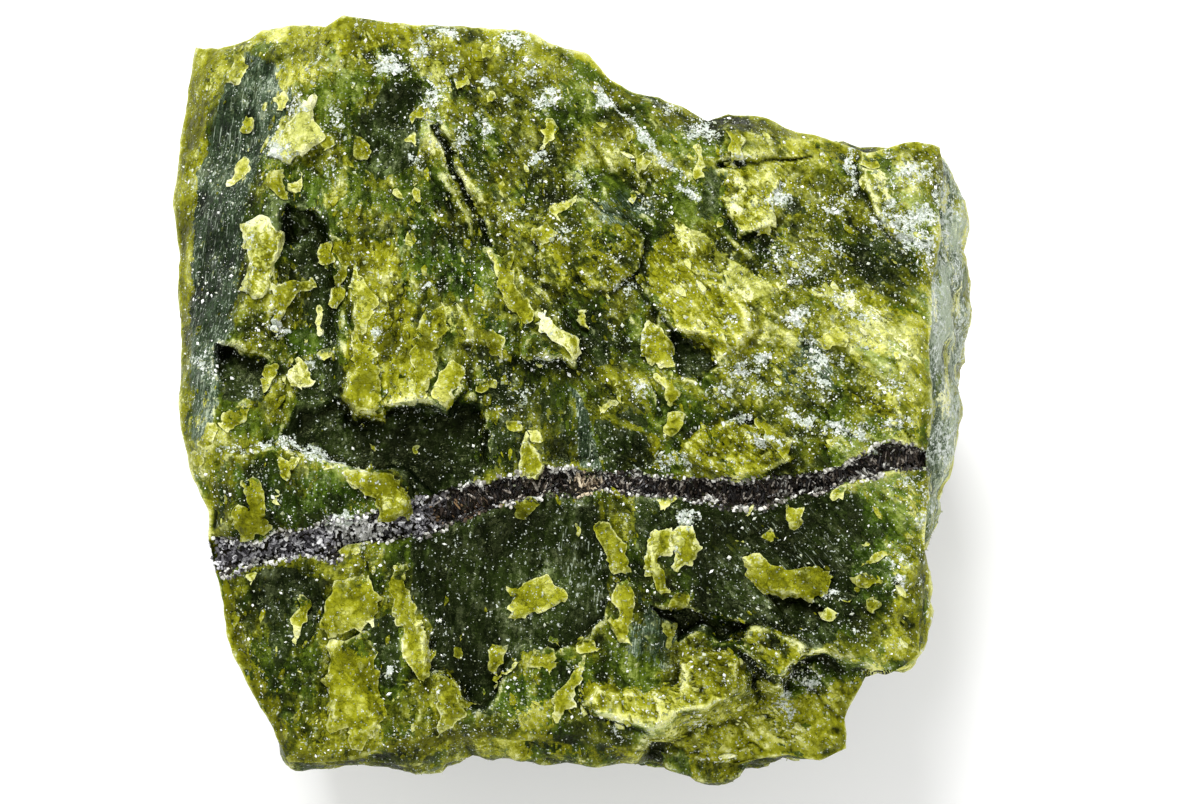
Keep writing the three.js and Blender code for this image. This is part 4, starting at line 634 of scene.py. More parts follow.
        (0.4, 1, [(24.6, 22.6), (26.4, 22.4), (28, 17), (26.4, 16), (25, 18)]),
    ],
}

# Broad differences in tone, whatever the kind of stone: how much lighter or darker, softness and outline.
SHADES = [
    (0.1, 1.2, [
        (22.4, 22.6), (26.6, 22.4), (31.6, 21), (32.2, 10), (31.8, -2), (29.4, -8.6), (31, -16),
        (27.2, -19.4), (25.6, -12), (26.6, -5), (23.4, -3), (22.2, 2), (24.6, 6.4), (22.6, 12), (24, 17),
    ]),
    # painted shadow under the lower edge of the yellow crust
    (-0.08, 0.6, [
        (1, -27.6), (4, -28.4), (8, -29.4), (12, -27.9), (15, -26.2), (18, -25.8), (19, -27), (14, -29),
        (8, -31), (1, -29.8),
    ]),
    (0.22, 1.4, [
        (1, 25.6), (5, 24), (9.2, 21.8), (13, 23), (20, 22.6), (24, 21), (23, 17), (17.4, 15.6),
        (12, 15.6), (7, 15.2), (0.6, 14.4), (-1, 19), (0.4, 23),
    ]),
    (0.2, 1.2, [
        (24.8, 8), (30.8, 8.4), (31.4, 2), (31, -5), (31.4, -12), (31, -20), (28.6, -20), (28, -12),
        (25, -8.4), (24, -3), (25.6, 2),
    ]),
    (0.16, 1.4, [
        (-26, 29.6), (-20, 30), (-12, 30), (-9, 26), (-12, 22), (-16, 20), (-22, 17), (-24.6, 20),
        (-24, 25),
    ]),
    (-0.12, 0.8, [(-20.4, 8.4), (-13.6, 8.6), (-11, 5), (-13, 0), (-19.6, -1.4)]),
    (-0.1, 1, [(-31, -5), (-20.6, -6.6), (-16.4, -9.4), (-20, -11.4), (-31.4, -12.6)]),
    (-0.1, 1, [(-20.8, 14), (-12.4, 15.6), (-8.4, 13), (-9, 8.2), (-13, 8.6), (-16, 10.8), (-20.4, 9.4)]),
    (-0.07, 1, [(0.6, 12.4), (4, 14.2), (7, 12.6), (6.2, 9.6), (8, 6.4), (4.6, 5), (1.2, 6.4), (2, 9.4)]),
    (-0.13, 0.8, [
        (-18.4, -1), (-13, 1), (-9.6, 3.4), (-8.2, 0), (-8.6, -6), (-11.6, -8.6), (-15, -6.4),
        (-19.4, -5.2),
    ]),
    (-0.12, 1, [(-32.4, -5), (-29.4, -4.6), (-26.4, -6), (-24.8, -9), (-26, -12), (-31, -12.6)]),
    (-0.14, 0.8, [(0, -1.4), (3.4, -2.2), (7.2, -2.6), (8, -6), (5, -8), (1.4, -7.4), (-1.2, -5)]),
    (-0.1, 1, [(8.6, -9.8), (13, -10.6), (16.6, -13), (15, -16.6), (11, -17.8), (8.4, -14.4)]),
    (-0.13, 1, [
        (-16.6, -17), (-12.4, -18.6), (-9.8, -21), (-8.6, -25), (-11.6, -26.8), (-14.8, -24.4),
        (-17.2, -21),
    ]),
    (0.1, 1.2, [(0, -17.6), (3, -17), (8, -19), (8, -24), (4, -25), (-1, -23)]),
    (-0.12, 1, [
        (16.6, -18.6), (20.4, -17.4), (24.8, -19.6), (24.4, -23.6), (20.4, -25.4), (17, -24), (15.8, -21),
    ]),
    (-0.13, 1, [
        (-18, -27.6), (-13, -28.8), (-7, -27.6), (-1.4, -28.6), (0.6, -31.4), (-6, -32.6), (-16, -32),
    ]),
    (0.12, 0.5, [
        (-33.4, 31), (-29.6, 31.4), (-30.8, 25), (-32.8, 18), (-33.6, 8), (-36, 8), (-36, 22), (-34.6, 28),
    ]),
    (-0.12, 0.4, [
        (-30, 29), (-26.4, 29.6), (-24.6, 26), (-27, 21), (-28.6, 14), (-29.4, 6), (-33.4, 2), (-33.8, 14),
    ]),
    (0.1, 1, [(-28, 33), (-20, 34), (-17, 30), (-19, 27.5), (-23, 30), (-28.6, 31)]),
    (-0.1, 0.8, [(-18.6, 26), (-13.2, 28.4), (-12.6, 24), (-14.6, 19), (-18.4, 18.4), (-19.8, 21)]),
    (-0.1, 1, [(-9.5, 27), (-3, 27.6), (0, 22), (-5, 16), (-9.6, 18)]),
    (-0.04, 0.5, [(-10, 9), (-1.6, 8), (0.6, 3), (-4.4, -6), (-9, -1), (-9, 4)]),
    (0.14, 0.6, [
        (-20.6, 12), (-15, 14.6), (-13, 10), (-9.6, 9), (-9.6, 4), (-13, 0), (-19.6, -1.6), (-19.6, 4),
    ]),
    (0.12, 1.2, [(6, 10), (9, 15.6), (14, 11), (24, 7.6), (30, 3), (22, 4), (16, 5.4), (13, 3)]),
    (-0.12, 1.2, [(22.5, 14), (27.6, 14.6), (31, 10), (28, 7), (23, 9.4)]),
    (-0.1, 1, [(14.6, 14.8), (19, 15.6), (23.4, 11.4), (21.6, 9.6), (16.8, 11)]),
    (-0.1, 0.6, [(-14, -13), (-4, -9.6), (2, -9.6), (4, -16), (1, -22), (-5, -23), (-9, -28), (-13, -24)]),
    (-0.1, 0.8, [(9, -9.4), (27, -8.6), (28.4, -13), (25.6, -20), (18, -20), (10, -18)]),
    (0.16, 0.8, [(1, -24), (14, -21.8), (15, -25.6), (23.6, -25), (23, -31), (13, -33), (1, -30)]),
    (0.1, 1, [(-33, 4), (-29.4, -4.4), (-29, -12), (-33, -12), (-35, 0)]),
]

# Patches of white crust and dust: middle, how far they reach along u and v, and strength.
DUST_PATCHES = [
    (-15.8, 29, 1.3, 0.8, 0.9), (-12.6, 26.4, 0.6, 1.6, 0.7), (-11.2, 32.6, 1, 0.6, 0.7),
    (-5, 31.6, 1.4, 0.6, 0.7), (-2.4, 26.5, 0.9, 0.7, 0.9), (-7.3, 28, 0.7, 0.5, 0.8),
    (-9.8, 23, 0.5, 1.3, 0.6), (-3.6, 21.4, 0.8, 0.6, 0.9), (-6.2, 26.4, 0.5, 0.4, 0.8),
    (-6, 16.4, 1, 0.6, 0.6), (-0.9, 15.1, 0.7, 0.4, 0.9), (-1.4, 14.2, 0.8, 0.4, 0.7),
    (11, 23.6, 1, 0.9, 0.8), (18.2, 17.8, 1, 0.7, 0.9), (14.9, 21.3, 0.6, 0.3, 0.7),
    (24.3, 20.4, 0.4, 2, 0.7), (22.8, 16.6, 0.8, 0.6, 0.6), (31.9, 18, 0.5, 1.4, 0.8),
    (27.6, 16.6, 0.8, 0.7, 0.8), (30, 15.8, 1.6, 0.7, 0.9), (29, 14, 1.3, 0.7, 0.9),
    (31.2, 12, 0.6, 1, 0.7), (27, 22, 0.6, 0.4, 0.7), (26.4, 18.6, 0.8, 0.3, 0.6),
    (29.4, 19.6, 1.6, 1.1, 0.8), (28.6, 15.2, 2.4, 1, 0.75), (30.4, 13.2, 1.4, 1.2, 0.75),
    (26, 4.4, 1, 0.5, 0.5), (19.2, 7.2, 1, 0.7, 1), (16.5, 3.8, 0.7, 0.6, 1), (20.6, 5, 0.7, 0.5, 0.8),
    (21.4, 3.2, 1.1, 1.4, 0.6), (23.6, 2.8, 0.6, 0.5, 0.9), (16, 0.9, 1.3, 0.6, 0.8),
    (18.6, -0.9, 0.8, 0.5, 0.8), (19.8, -1.7, 0.8, 0.6, 0.9), (22.4, -2.7, 1.2, 0.5, 1),
    (24.8, -3.1, 1.1, 0.7, 1), (26.6, -4.6, 1, 0.4, 0.8), (28.8, -16.8, 0.8, 0.6, 0.9),
    (22.7, -17.6, 0.4, 0.3, 1), (-20.2, -10.8, 1.6, 0.7, 1), (-23.1, 2.8, 0.6, 0.4, 1),
    (-26, 6.4, 0.7, 0.5, 1), (-25.3, 5.8, 0.4, 0.4, 0.9), (-18.1, 5.6, 0.5, 0.5, 1),
    (-32, 3.2, 0.9, 1.4, 0.5), (20.6, -24.8, 1, 0.6, 0.7), (18.6, -26.8, 0.5, 1.2, 0.7),
    (12.2, -32.4, 0.9, 0.8, 0.6), (-16.2, -24, 0.8, 0.4, 0.9), (5.2, 1.2, 0.6, 0.5, 0.7),
    (-2.8, 3.3, 0.8, 0.4, 0.5), (-5, 0.2, 0.9, 0.7, 0.6), (9.6, -10.2, 0.8, 0.5, 0.7),
    (8.6, -5.4, 1.4, 0.6, 0.6), (27.8, -2.4, 1.3, 0.6, 0.6), (14.6, 3, 1.1, 0.8, 0.8),
    (12.5, 1, 0.8, 0.5, 0.8), (14.4, -1.9, 1, 0.5, 0.8), (16.6, -3.4, 1.6, 0.5, 0.9),
    (30.8, -9.6, 0.5, 2.6, 0.7), (30.4, -6, 0.7, 0.5, 0.7), (31, -15, 0.3, 3, 0.5),
    (13.6, 7.4, 0.5, 0.4, 0.6), (8.6, 25.6, 0.8, 0.4, 0.5), (25, -20.6, 0.7, 0.4, 0.6),
    (31.6, 5, 0.4, 2.6, 0.7), (0.6, 19.6, 0.6, 0.8, 0.6), (3.8, 12.2, 0.7, 0.4, 0.5),
    (-14, 20.6, 0.4, 1.1, 0.5), (-22.6, -12.6, 1, 0.4, 0.5), (-21.4, 20.4, 0.5, 1, 0.4),
    (-20.6, 24.6, 0.8, 1.2, 0.5), (-24.4, 25.4, 0.9, 0.9, 0.7), (-26.4, 21.8, 0.8, 0.6, 0.7),
    (4.1, -28.6, 0.5, 0.7, 0.5), (-0.1, -24, 0.6, 0.3, 0.8), (10.8, -28.2, 0.8, 0.6, 0.5),
    (20, 11, 2, 1, 0.5), (23.4, 8.4, 1.6, 0.8, 0.5), (18, 12.6, 1.4, 0.8, 0.5), (21, 1.6, 1.4, 1, 0.6),
    (27.4, 0.8, 1.6, 0.8, 0.5), (29.4, -7.6, 1.2, 0.8, 0.5), (28.6, -14.6, 1, 1, 0.5),
    (25.6, 6.8, 1.4, 0.7, 0.5), (22.4, 13, 1.2, 0.8, 0.5), (31.4, -1.4, 0.4, 1.4, 0.6),
    (-13.6, 31.2, 0.5, 1.4, 0.8), (-10.8, 29.6, 0.8, 0.9, 0.6), (-8.4, 24, 0.5, 1.2, 0.6),
    (-12, 23, 0.4, 1.4, 0.5), (-3.6, 29, 1.4, 0.7, 0.5), (6.4, 17, 1.2, 0.8, 0.4),
    (-28.4, 0.6, 0.8, 0.7, 0.6), (4, 9.6, 1, 0.6, 0.5), (-18.4, 8, 0.6, 0.5, 0.4),
]

# Seams of white crust: width, strength and line.
SEAMS = [
    (0.32, 0.8, [(1.5, 27.5), (3.2, 26), (5, 24.4), (7.3, 21.6), (9.4, 19.4), (10.7, 17.8)]),
    (0.24, 0.7, [
        (-31, -4.4), (-29.5, -4.2), (-27, -4), (-25.5, -3.8), (-24, -4.5), (-22, -5.5), (-20.5, -6.2),
    ]),
    (0.25, 0.6, [(24.2, 23), (24.4, 20), (24.6, 17.6), (22.8, 16.2)]),
    (0.25, 0.7, [(-13, 27.6), (-12.6, 26), (-11.6, 24.6)]),
    (0.2, 0.6, [(-23.6, 28.6), (-22.4, 29.6), (-22.2, 30.2)]),
    (0.2, 0.5, [(-12.4, 5.6), (-14.2, 9), (-12, 10)]),
]

# The way the stone splinters: place, direction of the grain in degrees, and how far it reaches.
GRAIN = [
    (-32, 12, -102, 9), (-22, 8, -96, 10), (-20, -22, -97, 14), (-8, 20, -72, 10), (-2, 2, -72, 10),
    (0, -20, -70, 12), (10, 20, -50, 10), (14, 4, -48, 9), (26, 8, -32, 10), (24, 20, -62, 9),
    (20, -14, -35, 11), (14, -28, -24, 9),
]

# How flaky the stone's surface is: 1 where nothing is said, less inside these outlines.
CALM = [
    (0.12, DARK_SCOOP),
    (0.15, [(-5, -0.5), (-3.6, 2.3), (-1, 1.8), (0.4, 0.4), (5, -0.2), (5.4, -3), (5, -6.2), (-2.6, -6.6)]),
    (0.2, [
        (-13.8, -13.3), (-9, -11.2), (-4, -9.8), (1.5, -9.5), (2.2, -12), (3.2, -16), (2.2, -19.5),
        (0.4, -21.8), (-4, -22), (-6, -24.4), (-6.6, -28), (-8.4, -28), (-9.6, -25), (-12.5, -24),
        (-13, -20), (-14.5, -17.5),
    ]),
    (0.5, [
        (4.8, -8.8), (12, -9.6), (20, -9.2), (25.6, -9.4), (28, -11.6), (27.4, -15), (25.2, -19.2),
        (22.4, -22.4), (20.6, -22.4), (18.6, -20.4), (14, -19.6), (10.4, -18.4), (10, -15.6), (5.6, -14.4),
    ]),
    (0.45, [(-31, -4), (-25, -3.6), (-20, -6.6), (-14.6, -9.4), (-16, -11), (-24, -12), (-30, -12.6)]),
    (0.45, [(-36, 32), (-29, 31), (-28.5, 20), (-29.6, 9), (-31.2, 0), (-32, -6), (-36, -8)]),
    (0.3, TRIANGULAR_HOLLOW),
    (0.45, [(-4, 15.4), (0.2, 18.3), (4, 16.5), (6.6, 14), (5.8, 11), (0.6, 10.4), (-2.8, 9.8)]),
]

# How the vein's width changes from left to right: places along u, and shares of its full width.
VEIN_SPREAD = (
    [-34, -31, -27, -21, -16, -10, -6, -2, 4, 9, 14, 22, 26.5, 30.5, 33],
    [1.1, 1.4, 1.15, 1.25, 1.05, 1.35, 1, 0.9, 0.85, 0.95, 1, 0.75, 0.85, 0.7, 0.5],
)

# Spots of the vein with a look of their own: middle, and how far they reach along u and v.
VEIN_SPOTS = [
    ("tuft", (-19.2, -11.6), (2.8, 1.1)),
    ("straw", (1, -7.6), (1.3, 1.3)),
    ("rust", (-9.7, -10), (3, 1)),
]

# ---------------------------------------------------------------- noise


def scramble(i, j, k):
    """A number of its own, between -1 and 1, for each (i, j, k)."""
    value = np.sin(i * 127.1 + j * 311.7 + k * 74.7) * 43758.5453
    return 2 * (value - np.floor(value)) - 1


def smoothstep(x):
    t = np.clip(x, 0, 1)
    return t * t * (3 - 2 * t)


def mix(a, b, t):
    return a + (b - a) * t


def noise(x, y, z):
    """Smooth value noise between -1 and 1, with lumps of about one unit."""
    x, y, z = np.broadcast_arrays(x, y, z)
    i, j, k = np.floor(x), np.floor(y), np.floor(z)
    a, b, c = smoothstep(x - i), smoothstep(y - j), smoothstep(z - k)
    total = np.zeros(x.shape)
    for di in (0, 1):
        for dj in (0, 1):
            for dk in (0, 1):
                weight = (a if di else 1 - a) * (b if dj else 1 - b) * (c if dk else 1 - c)
                total += weight * scramble(i + di, j + dj, k + dk)
    return total


def layered(x, y, z, octaves):
    """Noise with finer and finer lumps added, about between -1 and 1."""
    total = np.zeros(np.broadcast(x, y, z).shape)
    for octave in range(octaves):
        finer = 2.1**octave
        total += noise(x * finer + 13.7 * octave, y * finer, z * finer + 5.1 * octave) / 1.9**octave
    return total / 1.6


def terraces(x, y, z, steps, edge):
    """Noise in flat steps, as left by scales of stone that split off."""
    level = steps * noise(x, y, z)
    floor = np.floor(level)
    return floor + smoothstep((level - floor) / edge)


# ---------------------------------------------------------------- plane geometry


def segment_distance(a, b, u, v):
    du, dv = b[0] - a[0], b[1] - a[1]
    t = np.clip(((u - a[0]) * du + (v - a[1]) * dv) / (du * du + dv * dv), 0, 1)
    return np.hypot(u - a[0] - t * du, v - a[1] - t * dv)


def inside_distance(outline, u, v):
    """Distance from (u, v) to a closed outline, positive inside it."""
    nearest = np.full(np.shape(u), np.inf)
    inside = np.zeros(np.shape(u), bool)
    for a, b in zip(outline, outline[1:] + outline[:1]):
        nearest = np.minimum(nearest, segment_distance(a, b, u, v))
        if a[1] != b[1]:
            level = (a[1] > v) != (b[1] > v)
            inside ^= level & (u < a[0] + (v - a[1]) * (b[0] - a[0]) / (b[1] - a[1]))
    return np.where(inside, nearest, -nearest)


def near_inside_distance(outline, u, v, reach):
    """As inside_distance, but only worked out within `reach` of the outline's box; -reach elsewhere."""
    points = np.array(outline)
    low, high = points.min(0) - reach, points.max(0) + reach
    close = (u > low[0]) & (u < high[0]) & (v > low[1]) & (v < high[1])
    result = np.full(np.shape(u), -float(reach))
    result[close] = np.maximum(inside_distance(outline, u[close], v[close]), -reach)
    return result


def line_distance(line, u, v):
    distances = [segment_distance(a, b, u, v) for a, b in zip(line, line[1:])]
    return np.min(distances, axis=0)


def left_distance(line, u, v):
    """Distance from (u, v) to an open line whose ends run on for ever, positive on its left."""
    best = np.full(np.shape(u), np.inf)
    signed = np.zeros(np.shape(u))
    last = len(line) - 2
    for i, (a, b) in enumerate(zip(line, line[1:])):
        du, dv = b[0] - a[0], b[1] - a[1]
        t = ((u - a[0]) * du + (v - a[1]) * dv) / (du * du + dv * dv)
        t = np.clip(t, 0 if i > 0 else -np.inf, 1 if i < last else np.inf)
        distance = np.hypot(u - a[0] - t * du, v - a[1] - t * dv)
        closer = distance < best
        best = np.where(closer, distance, best)
        side = np.sign(du * (v - a[1]) - dv * (u - a[0]))
        signed = np.where(closer, side * distance, signed)
    return signed


def along(line, t):
    """The points a fraction t of the way along an open line, by length."""
    points = np.array(line, float)
    lengths = np.hypot(*np.diff(points, axis=0).T)
    at = np.concatenate([[0], np.cumsum(lengths)]) / lengths.sum()
    return np.interp(t, at, points[:, 0]), np.interp(t, at, points[:, 1])


def ragged(u, v, reach, size, seed):
    """Moves (u, v) about a little, so that outlines become ragged."""
    return (
        u + reach * noise(u / size, v / size, seed),
        v + reach * noise(u / size, v / size, seed + 4),
    )


# ---------------------------------------------------------------- the face

RIM = TOP_RIM + RIGHT_RIM[1:] + BOTTOM_RIM[::-1][1:] + LEFT_RIM[::-1][1:-1]


def main_height(u, v):
    """The broad facets of the face, without the relief on them."""
    main = np.where(v > 0, -MAIN_FALL * v, -LOW_FALL * v)
    w = main
    for facet in FACETS:
        beyond = left_distance(facet["ridge"], u, v) * facet.get("side", 1)
        w = np.minimum(w, main - facet["fall"] * beyond)
    return w


def face_height(u, v, step=STEP_WIDTH):
    """Height of the face above the face frame's own plane, as in the CAD part but with sharper ledges."""
    w = main_height(u, v)
    ru, rv = ragged(u, v, 0.35, 2.2, 3.5)
    if step < FLAKE_BED_STEP:
        ru, rv = ragged(ru, rv, 0.3, 0.9, 1.5)
    for number, relief in enumerate(RELIEF):
        inside = near_inside_distance(relief["outline"], ru, rv, 3)
        soft = relief.get("soft", 1)
        soft = max(0, soft - 2) + soft * smoothstep(0.35 + 1.3 * noise(u / 4, v / 4, 40 + number))
        soft = step + SOFT_EDGE * soft
        share = smoothstep((inside + step) / (step + soft))
        (at_u, at_v), (tilt_u, tilt_v) = relief["at"], relief["tilt"]
        lift = relief["lift"] + tilt_u * (u - at_u) + tilt_v * (v - at_v)
        lift = np.maximum(lift, 0) if relief["lift"] > 0 else np.minimum(lift, 0)
        w = w + share * lift
    roll = np.maximum(0, 1 - np.maximum(0, inside_distance(RIM, u, v)) / RIM_ROLL_WIDTH)
    return w - RIM_ROLL * roll * roll


def from_face(u, v, w):
    """Points of the face frame in the part's frame, in mm and before the roughness."""
    nearer = 1 - w / NEAR_POINT
    x = SIGHT_U + (u - SIGHT_U) * nearer
    up = SIGHT_V + (v - SIGHT_V) * nearer
    y = up * math.cos(LEAN) - w * math.sin(LEAN)
    z = up * math.sin(LEAN) + w * math.cos(LEAN) + RISE
    return np.stack([x, y, z], -1)


def roughen(points):
    """Moves points by the stone's roughness, which dies out towards the sole."""
    fade = smoothstep(points[..., 2] / ROUGHNESS_FADE)
    moved = points.copy()
    for size, reach in ROUGHNESS:
        x, y, z = np.moveaxis(points / size, -1, 0)
        moved[..., 0] += fade * reach * noise(x, y, z)
        moved[..., 1] += fade * reach * noise(x + 31.4, y, z)
        moved[..., 2] += fade * reach * noise(x, y + 17.7, z)
    return moved


def face_place(s, t):
    """(s, t) in the unit square to (u, v): a patch stretched between the four rims."""
    top, bottom = along(TOP_RIM, s), along(BOTTOM_RIM, s)
    left, right = along(LEFT_RIM, t), along(RIGHT_RIM, t)
    place = []
    for axis in (0, 1):
        sides = mix(left[axis], right[axis], s)
        ends = mix(top[axis], bottom[axis], t)
        upper = mix(TOP_RIM[0][axis], TOP_RIM[-1][axis], s)
        lower = mix(BOTTOM_RIM[0][axis], BOTTOM_RIM[-1][axis], s)
        place.append(sides + ends - mix(upper, lower, t))
    return place


# ---------------------------------------------------------------- grain of the stone


def grain_strengths(u, v):
    """How strongly each direction of the grain is felt at (u, v)."""
    return np.array([
        np.exp(-((u - at_u) ** 2 + (v - at_v) ** 2) / (reach * reach)) for at_u, at_v, _, reach in GRAIN
    ])


def grain_weights(u, v):
    """How much each direction of the grain counts at (u, v); their squares add up to 1."""
    weights = grain_strengths(u, v) + 1e-6
    return weights / np.sqrt((weights**2).sum(0))


def grain_choice(u, v):
    """Which of the grain's directions rules at (u, v); their borders are ragged."""
    return np.argmax(grain_strengths(*ragged(u, v, 2.2, 3.5, 81.5)), axis=0)


def across_and_along(u, v, degrees):
    """(u, v) turned so that the second coordinate runs along the grain."""
    angle = math.radians(degrees)
    cos, sin = math.cos(angle), math.sin(angle)
    return u * sin - v * cos, u * cos + v * sin


def streaks(u, v, width, length, seed):
    """Noise drawn out along the grain, about between -1 and 1."""
    weights = grain_weights(u, v)
    total = np.zeros(np.shape(u))
    for weight, (_, _, degrees, _) in zip(weights, GRAIN):
        across, down = across_and_along(u, v, degrees)
        bend = 0.6 * noise(u / (3 * width), v / (3 * width), seed + degrees)
        total += weight * noise(across / width + bend, down / length, seed + 0.37 * degrees)
    return total


def cell_plates(x, y, seed, columns=10**6):
    """Overlapping tilted plates, one to a unit cell: their height, about 0 to 1, and each plate's own number.

    After `columns` cells along x they begin again, so that they can go round the stone.
    """
    column, row = np.floor(x), np.floor(y)
    best = np.full(np.shape(x), -np.inf)
    own = np.zeros(np.shape(x))
    for dx in (-1, 0, 1):
        for dy in (-1, 0, 1):
            i, j = (column + dx) % columns, row + dy
            across = x - column - dx - 0.5 - 0.42 * scramble(i, j, seed)
            down = y - j - 0.5 - 0.42 * scramble(i, j, seed + 1)
            height = 0.45 + 0.3 * scramble(i, j, seed + 2)
            height = height + across * 0.28 * scramble(i, j, seed + 3)
            height = height + down * (0.22 * scramble(i, j, seed + 4) - 0.2)
            height = height - 0.9 * np.maximum(0, np.hypot(across, down) - 0.55)
            higher = height > best
            best = np.where(higher, height, best)
            own = np.where(higher, scramble(i, j, seed + 5), own)
    return best, own


def plates(u, v, width, length, seed):
    """Splintery plates along the grain: their height, and a number of its own for each plate."""
    choice = grain_choice(u, v)
    bent_u, bent_v = ragged(u, v, 0.3 * width, 1.1 * width, seed)
    bent_u, bent_v = ragged(bent_u, bent_v, 0.12 * width, 0.3 * width, seed + 1)
    height, own = np.zeros(np.shape(u)), np.zeros(np.shape(u))
    for number, (_, _, degrees, _) in enumerate(GRAIN):
        here = choice == number
        across, down = across_and_along(bent_u[here], bent_v[here], degrees)
        height[here], own[here] = cell_plates(across / width, -down / length, seed + degrees % 7)
    return height, own


def flakiness(u, v):
    """How flaky the stone's surface is at (u, v), from 0 to 1."""
    value = np.ones(np.shape(u))
    ru, rv = ragged(u, v, 0.5, 1.5, 21.5)
    for calm, outline in CALM:
        share = smoothstep(0.5 + near_inside_distance(outline, ru, rv, 2) / 1.2)
        value = np.minimum(value, mix(1, calm, share))
    return value


def fine_relief(u, v):
    """The splintery skin of the face, too fine for the CAD part."""
    flaky = flakiness(u, v)
    large, _ = plates(u, v, *LARGE_PLATES)
    small, _ = plates(u, v, *SMALL_PLATES)
    rough = 0.95 * (large - 0.6) + 0.42 * (small - 0.6)
    rough = rough + 0.1 * streaks(u, v, 0.6, 2.6, 11.5) + 0.12 * layered(u / 1.1, v / 1.1, 9.5, 2)
    calm = 0.06 * streaks(u, v, 1.3, 4, 17.5) + 0.05 * layered(u / 1.6, v / 1.6, 1.5, 2)
    grit = 0.05 * noise(u / 0.42, v / 0.42, 8.5)
    from_rim = np.maximum(0, inside_distance(RIM, u, v))
    return smoothstep(from_rim / 0.8) * (mix(calm, rough, flaky) + grit * mix(0.3, 1, flaky))


def knobs(u, v):
    """The knobbly crusts on some of the lumps."""
    value = np.zeros(np.shape(u))
    ru, rv = ragged(u, v, 0.4, 1.3, 91.5)
    large, _ = cell_plates(ru / 1.9, rv / 1.7, 6)
    small, _ = cell_plates(ru / 0.8 + 3.3, rv / 0.75, 8)
    for relief in RELIEF:
        if "knobs" in relief:
            share = smoothstep(near_inside_distance(relief["outline"], ru, rv, 1) / 1.4)
            value = np.maximum(value, relief["knobs"] * share)
    return value * (1.1 * (large - 0.55) + 0.4 * (small - 0.55))


def half_vein(u, v):
    """Half the width of the vein at (u, v)."""
    half = 0.5 * VEIN_WIDTH * np.interp(u, *VEIN_SPREAD)
    return half * (1 + 0.3 * noise(u / 2.4, 0.3, 2.2) + 0.22 * noise(u / 0.9, v / 1.2, 5.2))


def vein_reach(u, v):
    """How far (u, v) is from the middle of the vein, and half the vein's width there."""
    bent_v = v + 0.35 * noise(u / 3.1, 0.7, 8.2) + 0.16 * noise(u / 1.1, 0.4, 6.2)
    bent_v = bent_v + 0.1 * noise(u / 0.45, v / 0.6, 7.7)
    return line_distance(VEIN, u, bent_v), half_vein(u, v)


def vein_profile(u, v):
    """Where (u, v) lies in the vein: 1 in its middle, 0 at its banks and beyond."""
    away, half = vein_reach(u, v)
    return np.clip(1 - away / half, 0, 1)


def beside_vein(u, v):
    """1 on the banks of the vein, 0 a millimetre away from them."""
    away, half = vein_reach(u, v)
    return smoothstep((1 - away + half) / 0.6)


def full_height(u, v):
    """The face with its fine relief and the vein's trench."""
    w = face_height(u, v) + fine_relief(u, v) + knobs(u, v)
    profile = vein_profile(u, v)
    bed = VEIN_DEPTH * smoothstep(profile / 0.45)
    bank = 0.1 * smoothstep(profile / 0.12) * smoothstep((0.3 - profile) / 0.2) * (profile > 0)
    return w - bed + bank


class Body:
    """The stone's vertices and faces, and each vertex's place.

    A place is (u, v) on the face or on its rim above the vertex, the depth down the side as a share of its
    height (0 on the face), and the share of the way round.
    """

    def __init__(self):
        self.points, self.places, self.faces = [], [], []
        self.count = 0

    def add(self, points, places):
        """Adds vertices, and gives their numbers."""
        points = points.reshape(-1, 3)
        self.points.append(points)
        self.places.append(places)
        first = self.count
        self.count += len(points)
        return np.arange(first, self.count)

    def join(self, upper, lower):
        """Joins an upper ring to a lower one, each counterclockwise seen from above."""
        if len(upper) == len(lower):
            rings = (upper, lower, np.roll(lower, -1), np.roll(upper, -1))
            self.faces.extend(map(tuple, np.stack(rings, -1)))
            return
        i = j = 0
        while i < len(upper) or j < len(lower):
            a, b = upper[i % len(upper)], lower[j % len(lower)]
            step_upper = j >= len(lower) or (i < len(upper) and (i + 1) / len(upper) <= (j + 1) / len(lower))
            if step_upper:
                i += 1
                self.faces.append((a, b, upper[i % len(upper)]))
            else:
                j += 1
                self.faces.append((a, b, lower[j % len(lower)]))


def rim_order(grid):
    """The border of a grid, counterclockwise seen from above."""
    sides = [grid[0, ::-1], grid[:, 0], grid[-1, :], grid[::-1, -1]]
    return np.concatenate([side[:-1] for side in sides])


def ring_mean(values, reach):
    """The mean of each value of a ring and its `reach` neighbours on either side."""
    count = len(values)
    padded = np.concatenate([values[-reach - 1:], values, values[:reach]])
    sums = np.cumsum(padded, axis=0)
    return (sums[2 * reach + 1:] - sums[:count]) / (2 * reach + 1)


def side_out(rim_places, depth):
    """How far the side stands out at a depth, for each point of the rim."""
    stations = []
    for (near_u, near_v), out in SIDES:
        distance = np.hypot(rim_places[:, 0] - near_u, rim_places[:, 1] - near_v)
        stations.append((int(distance.argmin()), np.interp(depth, SIDE_DEPTHS, out)))
    stations.sort()
    count = len(rim_places)
    return np.interp(np.arange(count), *zip(*stations), period=count)


def slanted(x, y, z):
    """The height along the slant of the sides' grain."""
    return z + 0.35 * x - 0.2 * y


def wall_plates(round_at, height):
    """Splinters of the sides, by way round and height: how far out they are, and a number of their own."""
    bend = 0.35 * noise(40 * round_at, height / 3, 6.6)
    large, large_own = cell_plates(48 * round_at + bend, height / 6.2 + bend, 3, 48)
    small, small_own = cell_plates(104 * round_at + bend, height / 2.9 - bend, 9, 104)
    return 1.1 * (large - 0.65) + 0.5 * (small - 0.65), 0.6 * large_own + 0.4 * small_own


